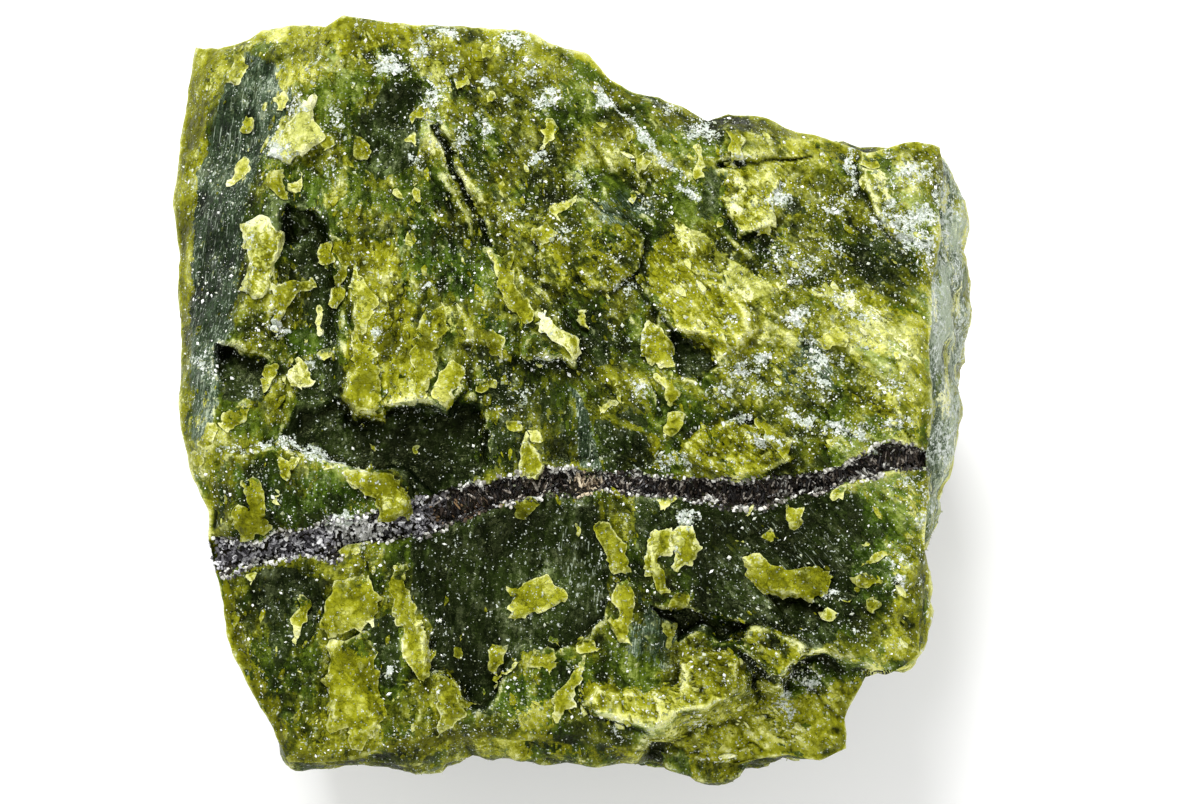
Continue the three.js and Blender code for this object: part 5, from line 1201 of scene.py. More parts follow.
def wall_relief(points, depth, round_at):
    """Scars, splinters and grit of the sides, as a distance outwards."""
    x, y, z = np.moveaxis(points, -1, 0)
    start = smoothstep(depth / 0.03) * smoothstep(z / 2.5)
    broad = smoothstep(depth / SCALES_START) * smoothstep(z / ROUGHNESS_FADE)
    out = np.zeros(len(points))
    for size, steps, height in SCALES:
        scar = terraces(x / size + 5.2, y / size + 9.1, z / size, steps, SCALE_EDGE)
        out += broad * height * (scar - SCALES_SUNK)
    lean = slanted(x, y, z)
    out += start * wall_plates(round_at, lean)[0]
    out += start * 0.1 * layered(x / 1.5, y / 1.5, lean / 2.2 + 7.7, 2)
    out += start * 0.1 * layered(x / 0.7 + 2.2, y / 0.7, z / 0.9, 2)
    return out


def build_body():
    """The whole stone as one closed skin."""
    body = Body()
    s, t = np.meshgrid(np.linspace(0, 1, FACE_COLUMNS + 1), np.linspace(0, 1, FACE_ROWS + 1))
    u, v = face_place(s, t)
    face = roughen(from_face(u, v, full_height(u, v)))
    places = np.stack([u, v, np.zeros(u.shape), np.zeros(u.shape)], -1).reshape(-1, 4)
    grid = body.add(face, places).reshape(u.shape)
    corners = [grid[:-1, :-1], grid[1:, :-1], grid[1:, 1:], grid[:-1, 1:]]
    body.faces.extend(map(tuple, np.stack([c.ravel() for c in corners], -1)))

    upper = rim_order(grid)
    rim_places = np.stack([u, v], -1).reshape(-1, 2)[upper]
    rim_u, rim_v = rim_places.T
    rim = from_face(rim_u, rim_v, face_height(rim_u, rim_v, CAD_STEP_WIDTH))
    count = len(rim)
    per_coarse = count / RIM_POINTS
    reach = round(4 * per_coarse)
    chord = np.roll(rim, -reach, 0) - np.roll(rim, reach, 0)
    away = np.stack([chord[:, 1], -chord[:, 0], np.zeros(count)], -1)
    away /= np.linalg.norm(away, axis=1)[:, None]

    def side(depth):
        points = rim + away * side_out(rim_places, depth)[:, None]
        points[:, 2] = mix(rim[:, 2], FOOT_HEIGHT, depth)
        spread = round(CORNER_ROUNDING * depth * per_coarse)
        return ring_mean(points, spread) if spread else points

    def ring_indices(ring_count):
        return np.floor(np.arange(ring_count) / ring_count * count).astype(int)

    def wall_ring(depth, ring_count):
        pick = ring_indices(ring_count)
        bare = side(depth)[pick]
        points = bare + away[pick] * wall_relief(bare, depth, pick / count)[:, None]
        place = np.stack([rim_u[pick], rim_v[pick], np.full(ring_count, depth), pick / count], -1)
        return body.add(roughen(points), place)

    depths = WALL_END * (np.arange(1, WALL_ROWS + 1) / WALL_ROWS) ** 1.15
    for row, depth in enumerate(depths):
        dense = row < DENSE_RINGS
        lower = wall_ring(depth, count if dense else WALL_COLUMNS)
        body.join(upper, lower)
        upper = lower

    foot = side(1.0)
    middle = foot.mean(0)
    pick = ring_indices(SOLE_COLUMNS)
    for inset, height in SOLE_RINGS:
        points = mix(foot[pick], middle, inset)
        points[:, 2] = height
        place = np.stack([rim_u[pick], rim_v[pick], np.full(SOLE_COLUMNS, 1.0), pick / count], -1)
        lower = body.add(points, place)
        body.join(upper, lower)
        upper = lower
    centre = body.add(np.array([[middle[0], middle[1], SOLE_HOLLOW]]), np.array([[0, 0, 1.0, 0]]))[0]
    for k in range(len(upper)):
        body.faces.append((upper[k], centre, upper[(k + 1) % len(upper)]))
    return body


def to_row_frame(points):
    """Face-side millimetres to the part's metres, with the stone's box over the origin."""
    return (points - np.array([*CENTRE, 0])) * MM


def in_box(points):
    """Keeps points in metres just inside the CAD part's box."""
    low, high = (np.array(corner) for corner in CAD_BOX)
    return np.clip(points, low + BOX_MARGIN, high - BOX_MARGIN)


def make_object(name, points, faces):
    mesh = bpy.data.meshes.new(name)
    mesh.from_pydata(points.tolist(), [], [tuple(map(int, face)) for face in faces])
    mesh.validate()
    mesh.update()
    piece = bpy.data.objects.new(name, mesh)
    bpy.context.scene.collection.objects.link(piece)
    return piece


def set_attribute(piece, name, values):
    attribute = piece.data.attributes.new(name, "FLOAT", "POINT")
    attribute.data.foreach_set("value", np.asarray(values, np.float32))


# ---------------------------------------------------------------- the stone's skin, point by point


def neighbour_smoother(count, edges):
    """A function that averages values over each vertex's neighbours, a number of times."""
    degree = np.bincount(edges.ravel(), minlength=count).astype(float)

    def smoother(values, times):
        values = values.astype(float)
        for _ in range(times):
            total = np.zeros_like(values)
            for axis in range(values.shape[1]):
                column = values[:, axis]
                total[:, axis] = np.bincount(edges[:, 0], column[edges[:, 1]], count)
                total[:, axis] += np.bincount(edges[:, 1], column[edges[:, 0]], count)
            values = 0.5 * values + 0.5 * total / degree[:, None]
        return values

    return smoother


def convexities(piece, points, times_list):
    """How far each vertex stands above its surroundings, in mm, at several sizes of surroundings."""
    mesh = piece.data
    edges = np.empty(len(mesh.edges) * 2, np.int64)
    mesh.edges.foreach_get("vertices", edges)
    smoother = neighbour_smoother(len(points), edges.reshape(-1, 2))
    normals = np.empty(len(points) * 3)
    mesh.vertices.foreach_get("normal", normals)
    normals = smoother(normals.reshape(-1, 3), 3)
    normals /= np.maximum(np.linalg.norm(normals, axis=1), 1e-9)[:, None]
    results = []
    smoothed, done = points, 0
    for times in times_list:
        smoothed = smoother(smoothed, times - done)
        done = times
        results.append(((points - smoothed) * normals).sum(1))
    return results, normals


def zone_shares(zones, u, v):
    """For each zone, its strength times a share: 1 well inside its ragged outline, 0 well outside it."""
    ru, rv = ragged(*ragged(u, v, 0.55, 1.6, 31.5), 0.25, 0.6, 41.5)
    for strength, softness, outline in zones:
        yield strength * smoothstep(0.5 + near_inside_distance(outline, ru, rv, 3) / (2 * softness))


def zone_masks(u, v, on_face):
    """The strength of each kind of stone at (u, v) of the face."""
    masks = {}
    for kind, zones in ZONES.items():
        mask = np.zeros(np.shape(u))
        for share in zone_shares(zones, u, v):
            mask = np.maximum(mask, share)
        masks[kind] = mask * on_face
    return masks


def shade_of(u, v):
    """How much lighter or darker than elsewhere the stone is at (u, v)."""
    return sum(zone_shares(SHADES, u, v))


def dust_mask(u, v):
    """How thickly the white dust and crust lie at (u, v)."""
    ru, rv = ragged(u, v, 0.7, 1.1, 51.5)
    ru, rv = ragged(ru, rv, 0.4, 0.45, 61.5)
    value = np.zeros(np.shape(u))
    for at_u, at_v, reach_u, reach_v, strength in DUST_PATCHES:
        far = ((ru - at_u) / reach_u) ** 2 + ((rv - at_v) / reach_v) ** 2
        value = np.maximum(value, strength * np.exp(-0.8 * far))
    for width, strength, line in SEAMS:
        value = np.maximum(value, strength * np.exp(-((line_distance(line, ru, rv) / width) ** 2)))
    return value


# ---------------------------------------------------------------- the stone's body

body = build_body()
body_points = np.concatenate(body.points)
face_u, face_v, wall_depth, round_at = np.concatenate(body.places).T
on_face = (wall_depth == 0).astype(float)
off_face = 1 - on_face
x, y, z = body_points.T
lean = slanted(x, y, z)
from_rim = np.maximum(0, inside_distance(RIM, face_u, face_v))

stone = make_object("serpentine_stone", in_box(to_row_frame(body_points)), body.faces)
# how far each point stands above its surroundings; with these the material paints raised places lighter and
# hollows darker, as painted light and shade
(ridge, swell, bulk), normals = convexities(stone, body_points, [3, 14, 60])
calmer = np.where(on_face > 0, 1, 0.45 * smoothstep((z - 2.5) / 3))
ridge, swell, bulk = ridge * calmer, swell * calmer, bulk * calmer

flaky = np.where(on_face > 0, flakiness(face_u, face_v), 1.0)
profile = np.where(on_face > 0, vein_profile(face_u, face_v), 0.0)
streak_face = 0.6 * streaks(face_u, face_v, 0.7, 4.5, 3.5) + 0.6 * streaks(face_u, face_v, 0.3, 2.2, 6.5)
streak_wall = 0.7 * noise(x / 0.9, y / 0.9, lean / 5) + 0.5 * noise(x / 0.4 + 8, y / 0.4, lean / 2.2)
streak = np.where(on_face > 0, streak_face, streak_wall)

_, plate = plates(face_u, face_v, *LARGE_PLATES)
_, small_plate = plates(face_u, face_v, *SMALL_PLATES)
plate = np.where(on_face > 0, 0.6 * plate + 0.4 * small_plate, wall_plates(round_at, lean)[1])

# the kinds of stone: on the face from the outlines, on the sides in patches, greyer and paler to the right
masks = zone_masks(face_u, face_v, on_face)
wall_yellow = smoothstep(0.35 + 0.75 * layered(x / 5.5, y / 5.5, lean / 9 + 3.3, 2))
wall_dark = smoothstep(0.25 + 0.8 * layered(x / 6.5 + 4.4, y / 6.5, lean / 9, 2))
wall_slate = smoothstep(0.1 + 0.7 * layered(x / 8 + 9.9, y / 8, lean / 14, 1))
to_right = smoothstep((x - 29.5 + 1.5 * layered(x / 6, y / 6, z / 6 + 8.8, 2)) / 3)
to_right *= smoothstep((z - 12 + 5 * layered(x / 7, y / 7, z / 7, 3)) / 9)
masks["yellow"] += off_face * 0.5 * wall_yellow * (1 - 0.8 * to_right)
masks["dark"] += off_face * 0.66 * wall_dark * (1 - 0.8 * to_right)
masks["slate"] += off_face * np.maximum(0.75 * to_right, 0.55 * wall_slate)
masks["pale"] += off_face * 0.7 * to_right * smoothstep(0.3 + layered(x / 2, y / 5, z / 2, 2))

# the outermost strip of the right side is yellow, at each height up the face
height_up_face = y * math.cos(LEAN) + z * math.sin(LEAN)
row = (height_up_face - height_up_face.min()) / ROW_HEIGHT
widest = np.zeros(int(row.max()) + 1)
np.maximum.at(widest, row.astype(int), x)
inwards = np.interp(row, np.arange(len(widest)) + 0.5, widest) - x
outermost = smoothstep((0.9 - inwards + 0.3 * layered(x / 2, y / 2, z / 2, 2)) / 0.6)
outermost *= smoothstep((x - 29) / 2)
masks["yellow"] += off_face * 0.9 * outermost
masks["slate"] *= 1 - 0.8 * off_face * outermost
masks["pale"] *= 1 - 0.6 * off_face * outermost

# near the rim the stone is neither dark nor grey, but yellow in patches: painted glow of light through its
# thin edges
top_of_wall = np.exp(-wall_depth / 0.2)
masks["dark"] *= 1 - 0.9 * off_face * top_of_wall
masks["slate"] *= 1 - 0.85 * off_face * (1 - to_right) * top_of_wall
masks["green"] += off_face * 0.5 * smoothstep(0.2 + layered(x / 4 + 1.7, y / 4, lean / 5, 2))
masks["pale"] += off_face * 0.2 * smoothstep(layered(x / 3 + 6.1, y / 3, lean / 4, 2))
patchy = smoothstep(0.5 + 0.9 * layered(x / 4 + 2.7, y / 4, z / 4, 2))
near_rim = on_face * np.exp(-from_rim / 1.3) * mix(0.2, 0.75, patchy)
masks["yellow"] = np.maximum(masks["yellow"], near_rim)
below_rim = off_face * np.exp(-wall_depth / 0.12) * mix(0.35, 0.8, patchy) * (1 - to_right)
masks["yellow"] = np.maximum(masks["yellow"], below_rim)
for kind in ("dark", "yellow", "pale", "green"):
    masks[kind] *= 1 - smoothstep((profile - 0.25) / 0.35)
# the painted highlight on ridges is made weaker on dark and slate stone and beside the vein
dull = np.clip(masks["dark"] + masks["slate"], 0, 1)
ridge = ridge * (1 - 0.7 * dull) * (1 - 0.7 * beside_vein(face_u, face_v) * on_face)

dust = dust_mask(face_u, face_v) * on_face
dust_wall = smoothstep(0.55 * layered(x / 4 + 5.5, y / 4, z / 4, 2) - 0.1)
frost = 0.5 * to_right * smoothstep(0.6 + layered(x / 3, y / 4 + 3.3, z / 3, 2))
dust = np.maximum(dust, off_face * np.maximum(0.55 * dust_wall, frost))
bank = on_face * smoothstep(profile / 0.1) * smoothstep((0.4 - profile) / 0.3)
bank *= 0.6 * smoothstep(2 * layered(face_u / 2.4, face_v / 1.5, 4.1, 2))
dust = np.clip(np.maximum(dust, bank) * (1 - smoothstep((profile - 0.45) / 0.2)), 0, 1)


def paint(piece, masks, shade, dust, streak, plate, convex, vein, steep, waxy):
    """Stores on a piece what its material reads at each point."""
    set_attribute(piece, "shade", shade)
    for kind, values in masks.items():
        set_attribute(piece, kind, np.clip(values, 0, 1))
    set_attribute(piece, "dust", dust)
    set_attribute(piece, "streak", 0.5 * streak)
    set_attribute(piece, "plate", 0.5 * plate)
    for (name, height), values in zip(CONVEX_HEIGHTS, convex):
        set_attribute(piece, name, np.clip(values / height, -0.5, 0.5))
    set_attribute(piece, "vein", vein)
    set_attribute(piece, "steep", steep)
    set_attribute(piece, "waxy", waxy)


steep_grain = np.where(on_face > 0, 1 - smoothstep((face_u + 0.5 * face_v + 6) / 12), 0.8)
face_shade = shade_of(face_u, face_v)
shade = (face_shade - 0.18 * np.exp(-from_rim / 0.9)) * on_face
shade += off_face * (0.4 * to_right - 0.05)
waxy_rim = 0.8 * on_face * np.exp(-from_rim / 2.4)
in_vein = smoothstep(profile / 0.3)
paint(stone, masks, shade, dust, streak, plate, (ridge, swell, bulk), in_vein, steep_grain, waxy_rim)

# ---------------------------------------------------------------- flakes that stand proud


def resample(outline, spacing):
    """A closed outline with points about `spacing` apart."""
    points = np.array(outline + outline[:1], float)
    lengths = np.hypot(*np.diff(points, axis=0).T)
    at = np.concatenate([[0], np.cumsum(lengths)])
    steps = np.linspace(0, at[-1], max(6, round(at[-1] / spacing)), endpoint=False)
    return np.stack([np.interp(steps, at, points[:, 0]), np.interp(steps, at, points[:, 1])], -1)


def outwards(ring):
    """For each point of a counterclockwise ring, the direction out of it."""
    chord = np.roll(ring, -2, 0) - np.roll(ring, 2, 0)
    away = np.stack([chord[:, 1], -chord[:, 0]], -1)
    return away / np.maximum(np.linalg.norm(away, axis=1), 1e-9)[:, None]


def teeth(count, rng):
    """How far each point of a ring stands out: pointed teeth and notches of uneven size."""
    reach = np.zeros(count)
    for spacing, size in ((5, 0.34), (2.2, 0.24)):
        corners = max(4, round(count / spacing))
        at = np.sort(rng.uniform(0, count, corners))
        reach += np.interp(np.arange(count), at, size * rng.uniform(-1, 1, corners), period=count)
    return reach


def flake_layers(flake, rng):
    """One flake's triangulated outline: its (u, v) points, faces and how far inside each point lies."""
    outline = [tuple(map(float, point)) for point in flake["outline"]]
    area = sum(a[0] * b[1] - b[0] * a[1] for a, b in zip(outline, outline[1:] + outline[:1]))
    if area < 0:
        outline = outline[::-1]
    ring = resample(outline, FLAKE_CELL)
    ring = np.stack(ragged(ring[:, 0], ring[:, 1], 0.28, 1.1, 71.5), -1)
    ring = ring + teeth(len(ring), rng)[:, None] * outwards(ring) + rng.normal(0, 0.03, (len(ring), 2))
    edge = [tuple(point) for point in ring]
    low, high = ring.min(0), ring.max(0)
    across = np.arange(low[0], high[0], FLAKE_CELL)
    up = np.arange(low[1], high[1], FLAKE_CELL)
    cell_u, cell_v = (grid.ravel() for grid in np.meshgrid(across, up))
    cell_u = cell_u + rng.uniform(-0.08, 0.08, cell_u.shape)
    cell_v = cell_v + rng.uniform(-0.08, 0.08, cell_v.shape)
    inner = inside_distance(edge, cell_u, cell_v) > 0.6 * FLAKE_CELL
    points = np.concatenate([ring, np.stack([cell_u[inner], cell_v[inner]], -1)])
    laid, _, faces, _, _, _ = delaunay_2d_cdt(
        [Vector(point) for point in points.tolist()], [], [list(range(len(ring)))], 1, 1e-4
    )
    laid = np.array([tuple(point) for point in laid])
    return laid, faces, np.maximum(0, inside_distance(edge, laid[:, 0], laid[:, 1]))


def border_edges(faces):
    """The edges that belong to one face only, in that face's order."""
    seen = {}
    for face in faces:
        for a, b in zip(face, face[1:] + face[:1]):
            if (b, a) in seen:
                del seen[(b, a)]
            else:
                seen[(a, b)] = True
    return list(seen)


def make_flakes(name, flakes, seed):
    """Flakes in one painted piece, each with a ragged outline and standing out most at its lower end."""
    rng = np.random.default_rng(seed)
    all_points, all_faces, rows = [], [], []
    count = 0
    for index, flake in enumerate(flakes):
        laid, faces, depth = flake_layers(flake, rng)
        u, v = laid.T
        lifted = np.clip((v.max() - v) / max(1.5, 0.6 * np.ptp(v)), 0, 1)
        lifted = mix(0.25, 1, smoothstep(lifted + 0.3 * noise(u / 1.1, v / 1.1, 2.5 + index)))
        lifted = np.maximum(lifted, 0.85 * flake.get("whole", 0))
        thick = FLAKE_THICKNESS * flake["thick"] * lifted
        swept = thick * (0.5 + 0.5 * smoothstep(depth / 0.4))
        relief, _ = plates(u, v, *FLAKE_PLATES)
        splinters, _ = plates(u, v, *FLAKE_SPLINTERS)
        rough = 0.12 * layered(u / 0.7, v / 0.7, 3.3 + index, 2)
        rough = rough + 0.5 * (relief - 0.6) + 0.26 * (splinters - 0.6)
        base = face_height(u, v, FLAKE_BED_STEP)
        skin = full_height(u, v)
        top = np.maximum(base + swept + rough, skin + mix(0.04, 0.14, lifted) + 0.4 * rough)
        root = np.minimum(base, skin) - 0.5
        all_points += [roughen(from_face(u, v, top)), roughen(from_face(u, v, root))]
        n = len(laid)
        faces = [list(face) for face in faces]
        for face in faces:
            all_faces.append([count + k for k in face])
            all_faces.append([count + n + k for k in reversed(face)])
        for a, b in border_edges(faces):
            all_faces.append([count + a, count + n + a, count + n + b, count + b])
        to_left = 2 * np.clip((u.mean() - u) / np.ptp(u), -0.5, 0.5)
        for inside in (depth, np.zeros(n)):
            rows.append(np.stack([u, v, inside, lifted, to_left, np.full(n, index)]))
        count += 2 * n
    points = np.concatenate(all_points)
    piece = make_object(name, in_box(to_row_frame(points)), all_faces)
    (ridge, swell, _), _ = convexities(piece, points, [2, 6, 12])
    u, v, inside, lifted, to_left, ids = np.concatenate(rows, axis=1)
    own = scramble(ids, 3.0, seed)
    pale = np.array([flake.get("pale", 0) for flake in flakes], float)[ids.astype(int)]
    # at_edge: the thin rims of the flakes, painted paler and whiter as light along their edges
    at_edge = (1 - smoothstep(inside / 0.26)) * smoothstep(0.35 + 1.3 * noise(u / 1.1, v / 1.1, 15.5))
    below = zone_masks(u, v, 1)
    kinds = {kind: mask * (1 - smoothstep(1.5 * lifted)) for kind, mask in below.items()}
    kinds["green"] = 0.35 * smoothstep(0.1 + noise(u / 1.5, v / 1.5, 5.5) + 0.5 * own)
    kinds["yellow"] = mix(below["yellow"], 0.85, smoothstep(1.6 * lifted))
    kinds["pale"] = pale + lifted * (0.2 * own + 0.4 * at_edge + 0.25 * noise(u / 1.2, v / 1.2, 9.5))
    # pale flakes are made whiter towards their left side
    whiter_leftwards = smoothstep(0.15 + 0.7 * to_left + 0.8 * layered(u / 0.8, v / 0.8, 19.5, 2))
    speckled = 0.8 * dust_mask(u, v) + 0.15 * at_edge + 0.9 * pale * whiter_leftwards
    streak = 0.7 * streaks(u, v, 0.6, 3, 13.5)
    _, plate = plates(u, v, *FLAKE_SPLINTERS)
    plate = plate + 0.2 * own
    shade = 0.11 + 0.4 * shade_of(u, v) + 0.06 * own
    none = np.zeros(len(points))
    # the flakes' own ridges and swells, weakened, paint their edges lighter and hollows darker: painted light
    # and shade
    convex = (ridge * 0.8, swell * 0.4, none)
    waxy = 0.9 * smoothstep(1.6 * lifted)
    paint(piece, kinds, shade, speckled, streak, plate, convex, none, none + 0.5, waxy)
    return piece


small_flakes = [dict(thick=thick, outline=outline) for thick, outline in SMALL_FLAKES]
flakes = make_flakes("serpentine_flakes", FLAKES + small_flakes, 11)

# ---------------------------------------------------------------- small things strewn over the stone


def scatter(name, shape, faces, origins, axes, sizes, jitter, rng):
    """Many copies of a small shape in one piece, each with its own axes, sizes and unevenness."""
    copies, corners = len(origins), len(shape)
    local = shape[None] * (1 + rng.uniform(-jitter, jitter, (copies, corners, 3)))
    local = local * sizes[:, None, :]
    points = origins[:, None, :] + np.einsum("nki,nij->nkj", local, axes)
    first = np.arange(copies) * corners
    all_faces = [[int(f) + k for k in face] for f in first for face in faces]
    piece = make_object(name, in_box(to_row_frame(points.reshape(-1, 3))), all_faces)
    return piece, np.repeat(np.arange(copies), corners)


def frames_from(normals, directions):
    """Axes for each copy: along its direction, across it, and out of the surface."""
    out = normals / np.linalg.norm(normals, axis=1)[:, None]
    down = directions - out * (directions * out).sum(1)[:, None]
    down /= np.maximum(np.linalg.norm(down, axis=1), 1e-9)[:, None]
    return np.stack([down, np.cross(out, down), out], 1)


def face_direction(angle, rise=0):
    """A direction at an angle on the face, rising out of it, in the part's frame."""
    return np.stack([
        np.cos(angle),
        np.sin(angle) * math.cos(LEAN) - rise * math.sin(LEAN),
        np.sin(angle) * math.sin(LEAN) + rise * math.cos(LEAN),
    ], -1)


def grain_directions(indices, rng):
    """The direction of the grain at some vertices of the stone, with a little disorder."""
    count = len(indices)
    best = grain_weights(face_u[indices], face_v[indices]).argmax(0)
    degrees = np.array([direction for _, _, direction, _ in GRAIN], float)[best]
    on = face_direction(np.radians(degrees) + rng.normal(0, 0.3, count))
    off = np.stack([rng.normal(0, 0.4, count), rng.normal(0, 0.4, count), -np.ones(count)], -1)
    return np.where(on_face[indices][:, None] > 0, on, off)


def vertex_areas():
    """About how much skin each vertex of the stone stands for, in square mm."""
    area = np.zeros(len(body_points))
    for size in (3, 4):
        group = np.array([face for face in body.faces if len(face) == size])
        a, b, c = (body_points[group[:, k]] for k in range(3))
        half = np.linalg.norm(np.cross(b - a, c - a), axis=1) / 2
        share = half / 3 if size == 3 else half / 2
        for k in range(size):
            area += np.bincount(group[:, k], share, len(area))
    return area


areas = vertex_areas()
above_sole = smoothstep((z - 2.5) / 2)


def pick_vertices(density, number, rng):
    """Some of the stone's vertices, drawn by density and never from the sole."""
    chance = density * areas * above_sole
    return rng.choice(len(chance), number, replace=False, p=chance / chance.sum())


CHIP_SHAPE = np.array([
    (1, 0.15, 0.25), (0.45, 0.9, 0.55), (-0.5, 0.75, 0.85), (-1, 0.05, 1), (-0.45, -0.8, 0.9),
    (0.5, -0.85, 0.5), (1.05, 0.15, -1), (0.5, 0.95, -1), (-0.55, 0.8, -1), (-1.05, 0.05, -1),
    (-0.5, -0.85, -1), (0.55, -0.9, -1), (-0.05, 0.05, 1.05),
])
CHIP_TOP = [1] * 6 + [0] * 6 + [1]  # which corners are on the upper side
CHIP_FACES = [(12, k, (k + 1) % 6) for k in range(6)]
CHIP_FACES += [(k, k + 6, (k + 1) % 6 + 6, (k + 1) % 6) for k in range(6)]
CHIP_FACES += [(11, 10, 9, 8, 7, 6)]

GRAIN_SHAPE = np.array([(1, 0, 0), (-1, 0, 0), (0, 1, 0), (0, -1, 0), (0, 0, 1), (0, 0, -1.0)])
GRAIN_FACES = [(0, 2, 4), (2, 1, 4), (1, 3, 4), (3, 0, 4), (2, 0, 5), (1, 2, 5), (3, 1, 5), (0, 3, 5)]

FIBRE_SHAPE = np.array([
    (1, 0, 0), (0.75, 0.8, 0), (0.75, 0, 0.9), (0.75, -0.8, 0), (0.75, 0, -0.9),
    (-0.75, 0.9, 0), (-0.75, 0, 1), (-0.75, -0.9, 0), (-0.75, 0, -1), (-1, 0, 0.0),
])
FIBRE_FACES = []
for k in range(4):
    after = (k + 1) % 4
    FIBRE_FACES += [(0, 1 + k, 1 + after), (1 + k, 5 + k, 5 + after, 1 + after), (9, 5 + after, 5 + k)]


def make_chips(rng):
    """Crumbs of crust along the grain, thickest where the stone is flaky and yellow."""
    crusty = 0.3 + 1.2 * masks["yellow"] + 1.0 * masks["pale"] + 0.5 * masks["green"] - 0.2 * masks["dark"]
    density = np.clip(crusty, 0.05, 3) * flaky**1.5 * (1 - smoothstep(profile / 0.2))
    on_wall = 0.3 * (1 - to_right) * smoothstep((wall_depth - 0.3) / 0.12)
    density *= np.where(on_face > 0, smoothstep((from_rim - 0.4) / 1.2), on_wall)
    picked = pick_vertices(density, CHIPS, rng)
    length = 0.16 + 0.6 * rng.random(CHIPS) ** 3
    sizes = np.stack([length, length * rng.uniform(0.25, 0.65, CHIPS), 0.1 + 0.16 * length], -1)
    axes = frames_from(normals[picked] + rng.normal(0, 0.12, (CHIPS, 3)), grain_directions(picked, rng))
    at = body_points[picked]
    chips, owner = scatter("serpentine_chips", CHIP_SHAPE, CHIP_FACES, at, axes, sizes, 0.4, rng)
    own = rng.random(CHIPS)[owner]
    below = picked[owner]
    kinds = {
        "dark": 0.5 * masks["dark"][below],
        "slate": 0.4 * masks["slate"][below],
        "green": 0.4 * (own < 0.3),
        "yellow": 0.6 + 0 * own,
        "pale": np.clip(1.4 * (own - 0.55), 0, 0.8),
    }
    speckled = 0.6 * dust[below] + 0.15
    shade = 0.7 * face_shade[below] * on_face[below]
    # the chips' upper corners count as ridges and lumps, so the material paints the chips lighter on top:
    # painted light
    top = np.tile(np.array(CHIP_TOP, float), CHIPS)
    none = 0 * own
    convex = (0.02 * top, 0.04 * top, 0.1 * top)
    paint(chips, kinds, shade, speckled, own - 0.5, own - 0.5, convex, none, none, none + 0.5)
    return chips


def make_grains(rng):
    """Dust and grit: pale grains, thickest where the stone is crusted white."""
    drift = smoothstep(0.15 + 1.1 * layered(x / 3.1, y / 3.1, z / 3.1 + 4.4, 2))
    density = 0.03 + 0.36 * drift + 3.5 * dust**1.3 + 0.3 * np.clip(ridge / 0.1, 0, 1)
    density = density * (1 - 0.75 * masks["dark"]) * (1 - 0.3 * masks["slate"])
    on_wall = 0.3 * (1 - 0.8 * to_right)
    density *= (1 - 0.8 * smoothstep((profile - 0.5) / 0.2)) * np.where(on_face > 0, 1, on_wall)
    off_rim = np.where(on_face > 0, smoothstep(from_rim / 0.6), smoothstep(wall_depth / 0.12))
    picked = pick_vertices(density * off_rim, GRAINS, rng)
    size = 0.032 + 0.1 * rng.random(GRAINS) ** 5 + 0.03 * dust[picked]
    size = size * np.where(on_face[picked] > 0, 1, 0.7)
    sizes = size[:, None] * rng.uniform(0.4, 2.0, (GRAINS, 3))
    axes = frames_from(normals[picked], rng.normal(0, 1, (GRAINS, 3)))
    at = body_points[picked] + normals[picked] * (0.25 * size)[:, None] + rng.normal(0, 0.05, (GRAINS, 3))
    grains, owner = scatter("serpentine_dust", GRAIN_SHAPE, GRAIN_FACES, at, axes, sizes, 0.3, rng)
    set_attribute(grains, "own", rng.random(GRAINS)[owner])
    return grains


